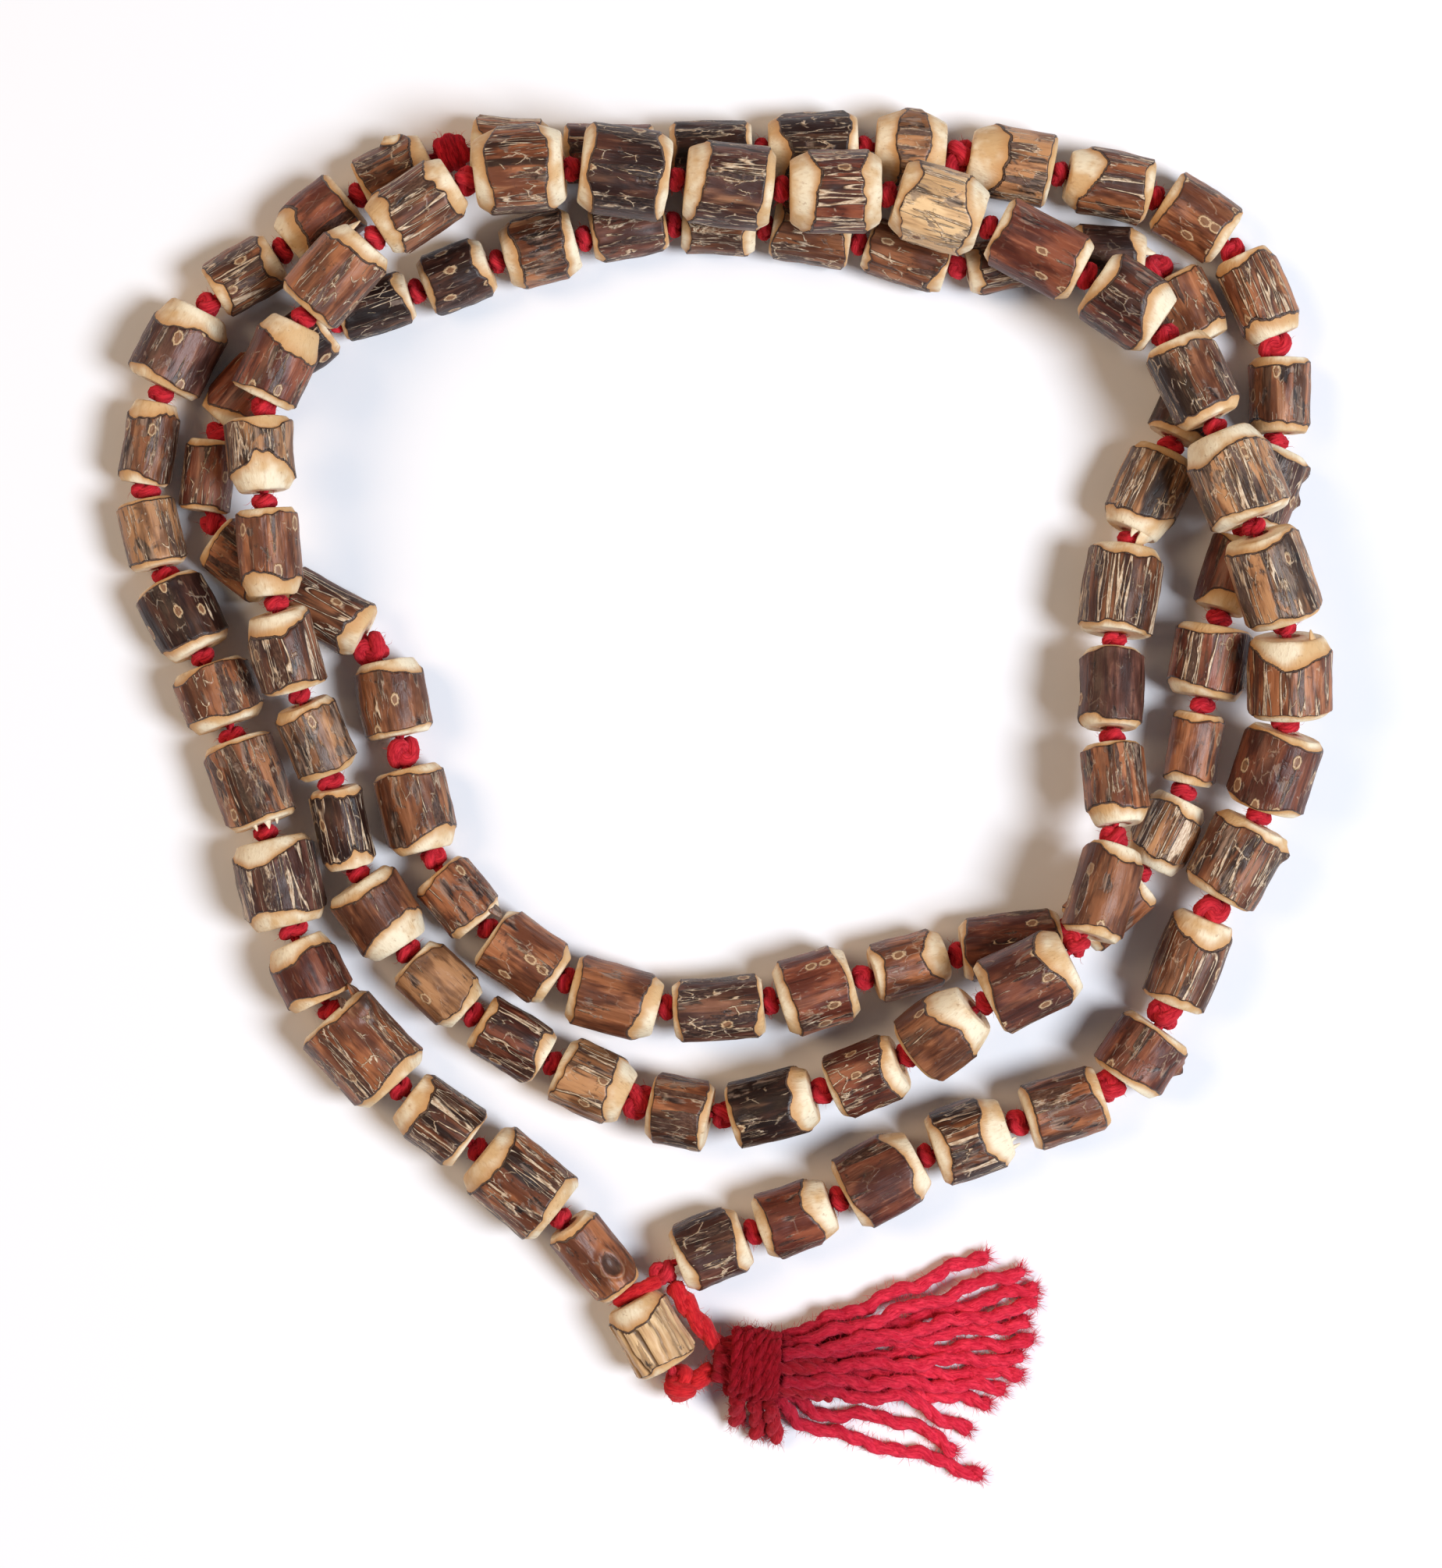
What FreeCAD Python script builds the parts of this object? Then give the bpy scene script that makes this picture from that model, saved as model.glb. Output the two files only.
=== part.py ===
"""Mala: prayer beads of whittled twig with the bark left on, knotted one by one on red
yarn, closed by a guru bead and a yarn tassel. The string lies folded on a flat surface.

Frame: millimetres, +Z up, the string lies on z = 0, X to the right, Y away from the
tassel. The origin is under the middle of the box of the beads.
"""
import FreeCAD, Part
import math
import os

from FreeCAD import Vector as V

os.makedirs("parts", exist_ok=True)
doc = FreeCAD.newDocument("mala")

# ---------------------------------------------------------------- driving dimensions
SIZES = {
    "class_one": 7.0, "class_two": 8.0, "class_three": 9.0, "class_four": 10.0,
    "class_five": 11.0,        # bead diameters, from the thinnest twig to the thickest
    "face_part": 0.78,         # end face diameter over bead diameter
    "taper": 1.5,              # length whittled down at each end of a bead
    "bore": 2.7,               # drilled hole of a bead
    "thread": 1.3,             # stringing yarn under tension
    "knot_ring": 1.0, "knot_roll": 0.5,      # spacer knot, a ring of one yarn turn
    "big_ring": 1.3, "big_roll": 0.75,       # doubled spacer knot
    "least_gap": 1.0,          # knot centre to bead face on a straight stretch
    "guru_dia": 9.0, "guru_len": 9.6,
    "yarn": 1.6,               # loose two-ply yarn of the tassel
    "band_yarn": 2.0,          # doubled yarn at the guru bead
    "shoulder_yarn": 1.2,      # yarn squeezed between the guru bead and the first bead
    "shoulder_dia": 3.6,       # knot that closes the string above the guru bead
    "foot_thick": 3.6, "foot_wide": 4.8,     # knot below the guru bead
    "head_dia": 7.4, "head_len": 5.0,        # gathered yarn inside the binding
    "neck_ball": 4.8,          # rounded top of the head, on which the tassel swings
    "wrap_dia": 8.8, "wrap_len": 6.0,        # binding wound round the head
    "tail_dia": 1.4,
    "join_ring": 1.5, "join_roll": 1.05,     # each coil of the joining knot
    "join_step": 2.2,          # between the middles of its two coils
    "origin_x": -0.05, "origin_y": -5.05,
}
sheet = doc.addObject("Spreadsheet::Sheet", "sizes")
row = 0


def cell(alias, value):
    """One plain number in the sheet, reachable as sizes.alias."""
    global row
    row += 1
    sheet.set("A%d" % row, alias)
    sheet.set("B%d" % row, "%.6g" % value)
    sheet.setAlias("B%d" % row, alias)


for alias, value in SIZES.items():
    cell(alias, value)

# ---------------------------------------------------------------- route of the thread
# One point at each knot, from the guru bead's left shoulder round the whole string and
# back to its right shoulder. Heights follow what each stretch lies on: bare surface,
# or the groove between the two strands beneath it.
ROUTE = [
    (-12, -65, 4.0), (-20, -55, 5.5), (-31, -46, 5.5), (-40.5, -39, 5.5),
    (-50, -28.5, 5.5), (-54.5, -19, 5.5), (-57.5, -6, 5.5), (-62, 6.5, 5),
    (-65.5, 16, 5), (-71, 26.5, 4.5), (-73.5, 37, 4.5), (-71.5, 49.5, 5),
    # outer strand of the pile, from the upper left round to the right
    (-65.5, 61.5, 5), (-55.5, 67.5, 4.5), (-46.5, 75, 4.5), (-34.5, 81, 4.5),
    (-21, 80, 4.5), (-7.5, 80, 4.5), (5, 80.5, 4.5), (18.5, 81, 5),
    (30, 80, 5), (43, 77.5, 5), (55.5, 75, 4.5), (65.5, 68.5, 4.5),
    (71, 55.5, 4.5), (71, 43.5, 4.5), (66.5, 32, 4.5), (63, 21, 5),
    (61, 10, 5), (59, -1, 4.5), (54, -11.5, 4), (44.5, -19.5, 4),
    # free middle stretch along the front, right to left
    (29.5, -21.5, 4), (18, -24.5, 5), (6.5, -28, 5), (-7, -29, 4.5),
    (-20, -25.5, 4.5), (-30, -18.5, 4.5), (-37, -10, 4.5), (-40.5, 4, 4.5),
    (-43, 18, 4.5),
    # inner strand of the pile, from the left round to the right
    (-56, 25, 4), (-66, 32.5, 4), (-64.5, 45, 4), (-57, 53.5, 4),
    (-49.5, 59, 4), (-38.5, 62.5, 4), (-28.5, 66.5, 4.5), (-17.5, 69.5, 4.5),
    (-6, 71.5, 4), (5.5, 71, 4), (17.5, 69, 4), (30, 65, 4),
    (42.5, 67.5, 4), (56, 66.5, 4), (62.5, 54.5, 4), (57, 43, 4.5),
    # down the right side and up onto the strand it crosses
    (51.5, 31, 5.5), (49.5, 18, 7), (49, 6, 9), (50, -6.5, 11),
    (45.5, -21, 13), (32.5, -27.5, 12), (23.5, -34.5, 9.5), (13, -39, 7.5),
    # inner front stretch, right to left, then up onto the pile
    (0, -42.5, 6), (-10.5, -40.5, 5), (-21.5, -35.5, 4.5), (-31.5, -29.5, 5),
    (-40, -21.5, 5.5), (-46.5, -11.5, 6.5), (-49, 0.5, 8), (-53, 11, 10),
    (-56, 22.5, 12), (-57, 35.5, 12.5), (-58, 47, 12.5), (-52.5, 58.5, 13),
    (-43.5, 68.5, 13.5), (-32, 76, 14), (-18.5, 77, 14.5), (-5.5, 75.5, 13.5),
    (7.5, 74, 13), (21, 74, 13), (33.5, 70, 12.5), (46, 63.5, 12.5),
    (56, 56.5, 13), (61.5, 44.5, 14), (66.5, 32, 15), (71, 19.5, 12.5),
    # outer front stretch, back to the guru bead
    (71.5, 7.5, 10), (68, -4, 8), (62, -15.5, 6.5), (56.5, -29.5, 5.5),
    (50, -39, 5), (37.5, -43, 5), (26, -47, 5), (15, -53, 5),
    (4, -57, 4.5), (-6.5, -61, 4.5),
]
# Twig thickness of each bead in stringing order, a (thinnest) to e (thickest).
TWIGS = (
    "aecec" "ecdcb" "adbcb" "cbbcd" "dccbb" "cbdab" "bbbdb" "ccbcc" "bbabb" "abcab"
    "baabb" "bcdbb" "bddcc" "ccbbd" "abcbc" "cccee" "eedcd" "ceded" "dcdcd" "dcc"
)
CLASSES = {"a": "class_one", "b": "class_two", "c": "class_three", "d": "class_four",
           "e": "class_five"}
# Knots that hold their beads further apart than the least gap, in millimetres.
WIDE = {15: 2.8, 20: 1.5, 24: 1.4, 33: 1.3, 38: 1.5, 39: 2.1, 40: 2.4, 52: 1.3,
        53: 2.0, 54: 2.2, 60: 1.4, 64: 1.3, 65: 1.4, 66: 1.5, 91: 1.5, 92: 1.7, 93: 1.5,
        94: 1.3}
DOUBLED = (20, 24, 39, 40, 53, 54, 66, 91, 92, 93)
JOIN = 15                       # the long yarn is joined here by a coiled knot
SHIFT = V(SIZES["origin_x"], SIZES["origin_y"], 0)
route = [V(*p) + SHIFT for p in ROUTE]
beads = len(TWIGS)
assert beads == 98 and len(route) == beads + 1


def turn_at(i):
    """Angle between the stretches before and after point i, in radians."""
    if i in (0, beads):
        return 0.0
    return (route[i] - route[i - 1]).getAngle(route[i + 1] - route[i])


def thickness(i):
    return SIZES[CLASSES[TWIGS[i]]]


def gap_at(i):
    """From the knot's centre to the face of the beads beside it. Two faces that meet
    at an angle stand off so far that their rims stay clear."""
    near = [thickness(j) for j in (i - 1, i) if 0 <= j < beads]
    rim = max(near) / 2 * SIZES["face_part"]
    bend = rim * math.tan(turn_at(i) / 2) + 0.3
    return max(SIZES["least_gap"], bend, WIDE.get(i, 0))


def frame_along(direction):
    """Rotation that carries +Z onto direction."""
    return FreeCAD.Rotation(V(0, 0, 1), direction)


# ---------------------------------------------------------------- beads
def bind(obj, **fields):
    for name, expression in fields.items():
        obj.setExpression(name, expression)
    return obj


def turned(name, centre, direction, dia, length):
    """A whittled twig: a cylinder with a cone at each end and a bore on its axis.
    dia and length are names of cells."""
    half = "sizes.%s / 2" % dia
    face = "sizes.%s / 2 * sizes.face_part" % dia
    place = FreeCAD.Placement(centre, frame_along(direction))

    def at(offset):
        return place.multiply(FreeCAD.Placement(V(0, 0, offset), FreeCAD.Rotation()))

    total = float(sheet.get(length))
    taper = SIZES["taper"]
    barrel = bind(doc.addObject("Part::Cylinder", name + "_barrel"), Radius=half,
                  Height="sizes.%s - 2 * sizes.taper" % length)
    barrel.Placement = at(taper - total / 2)
    lower = bind(doc.addObject("Part::Cone", name + "_lower"), Radius1=face,
                 Radius2=half, Height="sizes.taper")
    lower.Placement = at(-total / 2)
    upper = bind(doc.addObject("Part::Cone", name + "_upper"), Radius1=half,
                 Radius2=face, Height="sizes.taper")
    upper.Placement = at(total / 2 - taper)
    hole = bind(doc.addObject("Part::Cylinder", name + "_bore"),
                Radius="sizes.bore / 2", Height="sizes.%s + 2" % length)
    hole.Placement = at(-total / 2 - 1)
    twig = doc.addObject("Part::MultiFuse", name + "_twig")
    twig.Shapes = [barrel, lower, upper]
    twig.Refine = True
    bead = doc.addObject("Part::Cut", name)
    bead.Base, bead.Tool = twig, hole
    bead.Label = name
    return bead


solids = []
for i in range(beads):
    a, b = route[i], route[i + 1]
    direction = (b - a).normalize()
    start, end = a + direction * gap_at(i), b - direction * gap_at(i + 1)
    length = "length_of_%02d" % (i + 1)
    cell(length, round((end - start).Length, 3))
    solids.append((i + 1, (start + end) / 2, direction, CLASSES[TWIGS[i]], length))
cell("guru_length", SIZES["guru_len"])
doc.recompute()

FREE = (list(range(1, 12)) + list(range(33, 41)) + list(range(57, 61))
        + list(range(64, 73)) + list(range(90, 99)))      # beads with nothing on them
PILES = {
    "lower_outer_beads": range(12, 33),
    "lower_inner_beads": range(41, 57),
    "upper_layer_beads": list(range(61, 64)) + list(range(73, 90)),
}
made = {}
for number, centre, direction, dia, length in solids:
    made[number] = turned("bead_%02d" % number, centre, direction, dia, length)
nodes = [made[n] for n in FREE]
for name, members in PILES.items():
    pile = doc.addObject("Part::Compound", name)
    pile.Links = [made[n] for n in members]
    pile.Label = name
    nodes.append(pile)

guru_top, guru_foot = V(-11.5, -65.5, 4.5) + SHIFT, V(-6.5, -74.0, 4.5) + SHIFT
guru_way = (guru_foot - guru_top).normalize()
guru_centre = (guru_top + guru_foot) / 2
nodes.append(turned("guru_bead", guru_centre, guru_way, "guru_dia", "guru_length"))


# ---------------------------------------------------------------- yarn
def tube(name, points, dia):
    """Round yarn along straight runs joined by tangent arcs, as large as they fit."""
    edges, here, least = [], points[0], 1e9
    for i in range(1, len(points) - 1):
        before, after = points[i] - points[i - 1], points[i + 1] - points[i]
        short = 0.45 * min(before.Length, after.Length)
        u, w = V(before).normalize(), V(after).normalize()
        turn = u.getAngle(w)
        radius = short / math.tan(turn / 2)
        least = min(least, radius)
        first, last = points[i] - u * short, points[i] + w * short
        inward = (w - u).normalize()
        middle = points[i] + inward * (radius / math.cos(turn / 2) - radius)
        edges.append(Part.LineSegment(here, first).toShape())
        edges.append(Part.Arc(first, middle, last).toShape())
        here = last
    edges.append(Part.LineSegment(here, points[-1]).toShape())
    wire = Part.Wire(edges)
    start = edges[0].tangentAt(edges[0].FirstParameter)
    profile = Part.Wire([Part.Circle(points[0], start, dia / 2).toShape()])
    solid = wire.makePipeShell([profile], True, False)
    print("%-18s length %7.1f  least radius %5.2f  volume/section %.4f" % (
        name, wire.Length, least, solid.Volume / (math.pi * dia * dia / 4 * wire.Length)))
    return solid, wire.Length


def plain(name, shape):
    obj = doc.addObject("Part::Feature", name)
    obj.Shape = shape
    obj.Label = name
    nodes.append(obj)
    return obj


thread, thread_length = tube("stringing_thread", route, SIZES["thread"])
plain("stringing_thread", thread)


def ring(name, centre, direction, major, minor):
    knot = bind(doc.addObject("Part::Torus", name), Radius1="sizes." + major,
                Radius2="sizes." + minor)
    knot.Placement = FreeCAD.Placement(centre, frame_along(direction))
    return knot


def bisector(i):
    return ((route[i] - route[i - 1]).normalize()
            + (route[i + 1] - route[i]).normalize()).normalize()


def knot_centre(i):
    """The arc of the thread passes inside the point of the route."""
    before, after = route[i] - route[i - 1], route[i + 1] - route[i]
    short = 0.45 * min(before.Length, after.Length)
    turn = turn_at(i)
    radius = short / math.tan(turn / 2)
    inward = (V(after).normalize() - V(before).normalize()).normalize()
    return route[i] + inward * (radius / math.cos(turn / 2) - radius)


single, double = [], []
for i in range(1, beads):
    if i == JOIN:
        continue
    big = i in DOUBLED
    knot = ring("knot_%02d" % i, knot_centre(i), bisector(i),
                "big_ring" if big else "knot_ring", "big_roll" if big else "knot_roll")
    (double if big else single).append(knot)
for name, members in (("spacer_knots", single), ("doubled_knots", double)):
    group = doc.addObject("Part::Compound", name)
    group.Links = members
    group.Label = name
    nodes.append(group)

# Two coils of the joining knot, side by side on the thread.
coils = [ring("join_coil_%d" % (k + 1),
              knot_centre(JOIN) + bisector(JOIN) * SIZES["join_step"] * (k - 0.5),
              bisector(JOIN), "join_ring", "join_roll") for k in range(2)]
join = doc.addObject("Part::Compound", "join_knot")
join.Links = coils
join.Label = "join_knot"
nodes.append(join)

# ---------------------------------------------------------------- guru bead's yarn
def spot(x, y, z):
    return V(x, y, z) + SHIFT


# The thread bulges a little inside the bore and shows at both of its ends.
thread_down, _ = tube("guru_thread", [guru_top - guru_way * 0.9,
                                      guru_centre + V(0.05, 0.02, 0.04),
                                      guru_foot + guru_way * 1.2], SIZES["thread"])
plain("guru_thread", thread_down)
shoulder = bind(doc.addObject("Part::Sphere", "shoulder_knot"),
                Radius="sizes.shoulder_dia / 2")
shoulder.Placement = FreeCAD.Placement(spot(-7.2, -62.4, 4.4), FreeCAD.Rotation())
shoulder.Label = "shoulder_knot"
nodes.append(shoulder)
foot = bind(doc.addObject("Part::Ellipsoid", "foot_knot"), Radius1="sizes.foot_thick / 2",
            Radius2="sizes.foot_wide / 2", Radius3="sizes.foot_thick / 2")
foot.Placement = FreeCAD.Placement(spot(-4.9, -76.6, 4.2), FreeCAD.Rotation())
foot.Label = "foot_knot"
nodes.append(foot)
across, _ = tube("shoulder_yarn", [spot(-8.3, -62.7, 5.2), spot(-10.4, -63.85, 5.9),
                                   spot(-12.75, -65.4, 5.2)], SIZES["shoulder_yarn"])
plain("shoulder_yarn", across)
side, _ = tube("side_yarn", [spot(-6.2, -63.4, 4.6), spot(-4.1, -66.5, 4.6),
                             spot(-2.3, -69.0, 4.7), spot(-0.4, -71.2, 4.6)],
               SIZES["band_yarn"])
plain("side_yarn", side)
neck, _ = tube("neck_yarn", [spot(-3.8, -76.2, 4.3), spot(-2.4, -75.5, 4.5),
                             spot(-1.1, -74.5, 4.5)], SIZES["band_yarn"])
plain("neck_yarn", neck)

# ---------------------------------------------------------------- tassel
# Everything in the head shares one axis. Places along it are measured from the middle
# of the rounded top, which is the point that the tassel swings about.
swing_at = spot(1.4, -73.4, 4.5)
head_way = V(1, -0.12, 0).normalize()
HEAD_FROM, WRAP_FROM, CLEAR = 0.6, -0.6, 2.0


def on_head(distance):
    return FreeCAD.Placement(swing_at + head_way * distance, frame_along(head_way))


gather = bind(doc.addObject("Part::Cylinder", "gathered_yarn"),
              Radius="sizes.head_dia / 2", Height="sizes.head_len")
gather.Placement = on_head(HEAD_FROM)
ball = bind(doc.addObject("Part::Sphere", "neck_top"), Radius="sizes.neck_ball / 2")
ball.Placement = on_head(0)
head = doc.addObject("Part::Fuse", "tassel_core")
head.Base, head.Tool = gather, ball
head.Label = "tassel_core"
nodes.append(head)
outer = bind(doc.addObject("Part::Cylinder", "wrap_outer"), Radius="sizes.wrap_dia / 2",
             Height="sizes.wrap_len")
outer.Placement = on_head(WRAP_FROM)
inner = bind(doc.addObject("Part::Cylinder", "wrap_inner"), Radius="sizes.head_dia / 2",
             Height="sizes.wrap_len + %g" % (2 * CLEAR))
inner.Placement = on_head(WRAP_FROM - CLEAR)
wrap = doc.addObject("Part::Cut", "tassel_binding")
wrap.Base, wrap.Tool = outer, inner
wrap.Label = "tassel_binding"
nodes.append(wrap)

# Strands of the skirt, from the uppermost to the lowest: where each leaves the binding,
# a point half way, and its cut end. They leave in three layers and settle side by side.
STRANDS = [
    [(7.6, -70.6, 3.2), (19.0, -66.6, 2.2), (34.0, -60.0, 1.0)],
    [(7.6, -71.5, 4.8), (20.0, -68.4, 3.4), (38.6, -62.0, 1.2)],
    [(7.6, -72.1, 2.0), (20.0, -69.8, 1.0), (40.4, -64.3, 0.9)],
    [(7.6, -72.3, 6.8), (20.5, -70.4, 3.4), (40.4, -66.6, 1.0)],
    [(7.6, -72.9, 3.9), (20.5, -71.6, 1.6), (39.4, -68.8, 0.9)],
    [(7.6, -73.7, 2.0), (20.5, -73.2, 0.9), (40.0, -71.2, 0.9)],
    [(7.6, -74.2, 5.7), (20.5, -74.0, 2.7), (38.6, -73.3, 0.9)],
    [(7.6, -74.7, 3.8), (20.5, -75.1, 1.0), (38.5, -75.5, 0.9)],
    [(7.6, -75.5, 7.2), (19.5, -76.0, 2.9), (36.4, -77.3, 0.9)],
    [(7.6, -75.5, 1.9), (19.5, -76.9, 0.9), (34.4, -79.2, 0.9)],
    [(7.6, -76.2, 5.4), (15.0, -78.2, 2.8), (23.0, -77.8, 2.8), (27.0, -80.2, 1.4),
     (31.8, -83.0, 0.9)],
    [(7.6, -76.7, 3.5), (10.8, -79.6, 1.4), (15.0, -81.3, 0.9), (19.5, -80.4, 0.9),
     (25.0, -82.2, 0.9), (30.2, -85.2, 0.9)],
    [(7.2, -77.9, 4.6), (9.0, -81.0, 1.6), (13.5, -83.0, 0.9), (20.5, -84.6, 0.9),
     (27.0, -86.3, 0.9), (33.4, -88.4, 0.9)],
]
strands = []
for i, points in enumerate(STRANDS):
    solid, _ = tube("tassel_strand_%02d" % (i + 1), [spot(*p) for p in points],
                    SIZES["yarn"])
    strands.append(solid)
plain("tassel_strands", Part.makeCompound(strands))

TAILS = [
    [(2.0, -77.9, 6.2), (2.2, -79.9, 3.4), (2.0, -81.6, 1.2)],
    [(4.2, -78.4, 5.6), (4.9, -81.0, 2.8), (4.6, -83.4, 0.9)],
    [(6.2, -78.5, 6.3), (6.7, -81.4, 3.2), (7.0, -83.8, 0.9)],
]
tails = [tube("binding_tail_%d" % i, [spot(*p) for p in points], SIZES["tail_dia"])[0]
         for i, points in enumerate(TAILS)]
plain("binding_tails", Part.makeCompound(tails))

# ---------------------------------------------------------------- check and write
doc.recompute()
for obj in doc.Objects:
    if "Invalid" in obj.State or "Error" in obj.State:
        raise RuntimeError("%s failed: %s" % (obj.Name, obj.State))
box = FreeCAD.BoundBox()
for obj in nodes:
    shape = obj.Shape
    if shape.isNull() or not shape.isValid() or not shape.Solids:
        raise RuntimeError(obj.Label + " is not a valid solid")
    if "bead" in obj.Label:
        box.add(shape.BoundBox)
    shape.exportStep("parts/%s.step" % obj.Label)
print("%d nodes, %d solids" % (len(nodes), sum(len(o.Shape.Solids) for o in nodes)))
print("thread %.1f mm, beads' box x %.2f..%.2f y %.2f..%.2f z %.2f..%.2f" % (
    thread_length, box.XMin, box.XMax, box.YMin, box.YMax, box.ZMin, box.ZMax))
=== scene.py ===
"""Mala of whittled twig beads on red yarn: looks, light and camera.

Lengths are typed in millimetres, and multiplied by MM where Blender needs metres.
"""
import math

import bpy
import numpy as np
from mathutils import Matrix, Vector


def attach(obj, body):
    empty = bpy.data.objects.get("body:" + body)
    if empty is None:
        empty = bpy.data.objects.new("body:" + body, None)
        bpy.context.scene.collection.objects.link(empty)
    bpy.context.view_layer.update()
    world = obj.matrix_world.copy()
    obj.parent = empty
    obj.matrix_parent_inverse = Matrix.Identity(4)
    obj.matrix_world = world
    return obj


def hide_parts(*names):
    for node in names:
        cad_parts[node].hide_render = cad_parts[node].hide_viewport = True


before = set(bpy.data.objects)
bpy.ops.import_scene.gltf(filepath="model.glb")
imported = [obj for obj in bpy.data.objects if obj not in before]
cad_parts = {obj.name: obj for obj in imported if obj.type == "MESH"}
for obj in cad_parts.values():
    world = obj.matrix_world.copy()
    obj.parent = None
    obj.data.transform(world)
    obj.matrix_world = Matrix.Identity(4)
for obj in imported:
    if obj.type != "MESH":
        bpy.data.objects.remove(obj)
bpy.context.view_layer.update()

MM = 0.001
SEED = 20261117
TURN = 2 * math.pi
UP = np.array([0.0, 0.0, 1.0])
ORIGIN = np.array([-0.05, -5.05, 0.0])      # the route's zero seen from the row's origin

# ------------------------------------------------------------------ camera
CAMERA_HEIGHT = 500.0
FRAME_TALL = 201.0                           # what the view covers at the surface
SENSOR = 36.0

camera = bpy.data.objects.new("camera", bpy.data.cameras.new("camera"))
camera.data.sensor_width = SENSOR
camera.data.lens = SENSOR * CAMERA_HEIGHT / FRAME_TALL
camera.data.clip_end = 20.0
camera.location = (ORIGIN[0] * MM, ORIGIN[1] * MM, CAMERA_HEIGHT * MM)
bpy.context.scene.collection.objects.link(camera)
bpy.context.scene.camera = camera

# ------------------------------------------------------------------ sizes and route
DIAMETERS = dict(a=7.0, b=8.0, c=9.0, d=10.0, e=11.0)
FACE_PART = 0.78               # what the whittled ends keep of the radius, at a bend
PLAY = 0.3                     # more than the bend itself needs
BORE = 2.7
THREAD = 1.3
LEAST_GAP = 1.0                # half of the shortest gap between two beads
GURU_DIA, GURU_LONG = 8.8, 9.6
GURU_SEED = 500
YARN = 1.6
FLOOR_CLEAR = 0.05             # the lowest that yarn may come

ROUTE = [
    (-12, -65, 4.0), (-20, -55, 5.5), (-31, -46, 5.5), (-40.5, -39, 5.5),
    (-50, -28.5, 5.5), (-54.5, -19, 5.5), (-57.5, -6, 5.5), (-62, 6.5, 5),
    (-65.5, 16, 5), (-71, 26.5, 4.5), (-73.5, 37, 4.5), (-71.5, 49.5, 5),
    # outer strand of the pile, from the upper left round to the right
    (-65.5, 61.5, 5), (-55.5, 67.5, 4.5), (-46.5, 75, 4.5), (-34.5, 81, 4.5),
    (-21, 80, 4.5), (-7.5, 80, 4.5), (5, 80.5, 4.5), (18.5, 81, 5),
    (30, 80, 5), (43, 77.5, 5), (55.5, 75, 4.5), (65.5, 68.5, 4.5),
    (71, 55.5, 4.5), (71, 43.5, 4.5), (66.5, 32, 4.5), (63, 21, 5),
    (61, 10, 5), (59, -1, 4.5), (54, -11.5, 4), (44.5, -19.5, 4),
    # free middle stretch along the front, right to left
    (29.5, -21.5, 4), (18, -24.5, 5), (6.5, -28, 5), (-7, -29, 4.5),
    (-20, -25.5, 4.5), (-30, -18.5, 4.5), (-37, -10, 4.5), (-40.5, 4, 4.5),
    (-43, 18, 4.5),
    # inner strand of the pile, from the left round to the right
    (-56, 25, 4), (-66, 32.5, 4), (-64.5, 45, 4), (-57, 53.5, 4),
    (-49.5, 59, 4), (-38.5, 62.5, 4), (-28.5, 66.5, 4.5), (-17.5, 69.5, 4.5),
    (-6, 71.5, 4), (5.5, 71, 4), (17.5, 69, 4), (30, 65, 4),
    (42.5, 67.5, 4), (56, 66.5, 4), (62.5, 54.5, 4), (57, 43, 4.5),
    # down the right side and up onto the strand it crosses
    (51.5, 31, 5.5), (49.5, 18, 7), (49, 6, 9), (50, -6.5, 11),
    (45.5, -21, 13), (32.5, -27.5, 12), (23.5, -34.5, 9.5), (13, -39, 7.5),
    # inner front stretch, right to left, then up onto the pile
    (0, -42.5, 6), (-10.5, -40.5, 5), (-21.5, -35.5, 4.5), (-31.5, -29.5, 5),
    (-40, -21.5, 5.5), (-46.5, -11.5, 6.5), (-49, 0.5, 8), (-53, 11, 10),
    (-56, 22.5, 12), (-57, 35.5, 12.5), (-58, 47, 12.5), (-52.5, 58.5, 13),
    (-43.5, 68.5, 13.5), (-32, 76, 14), (-18.5, 77, 14.5), (-5.5, 75.5, 13.5),
    (7.5, 74, 13), (21, 74, 13), (33.5, 70, 12.5), (46, 63.5, 12.5),
    (56, 56.5, 13), (61.5, 44.5, 14), (66.5, 32, 15), (71, 19.5, 12.5),
    # outer front stretch, back to the guru bead
    (71.5, 7.5, 10), (68, -4, 8), (62, -15.5, 6.5), (56.5, -29.5, 5.5),
    (50, -39, 5), (37.5, -43, 5), (26, -47, 5), (15, -53, 5),
    (4, -57, 4.5), (-6.5, -61, 4.5),
]
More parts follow.
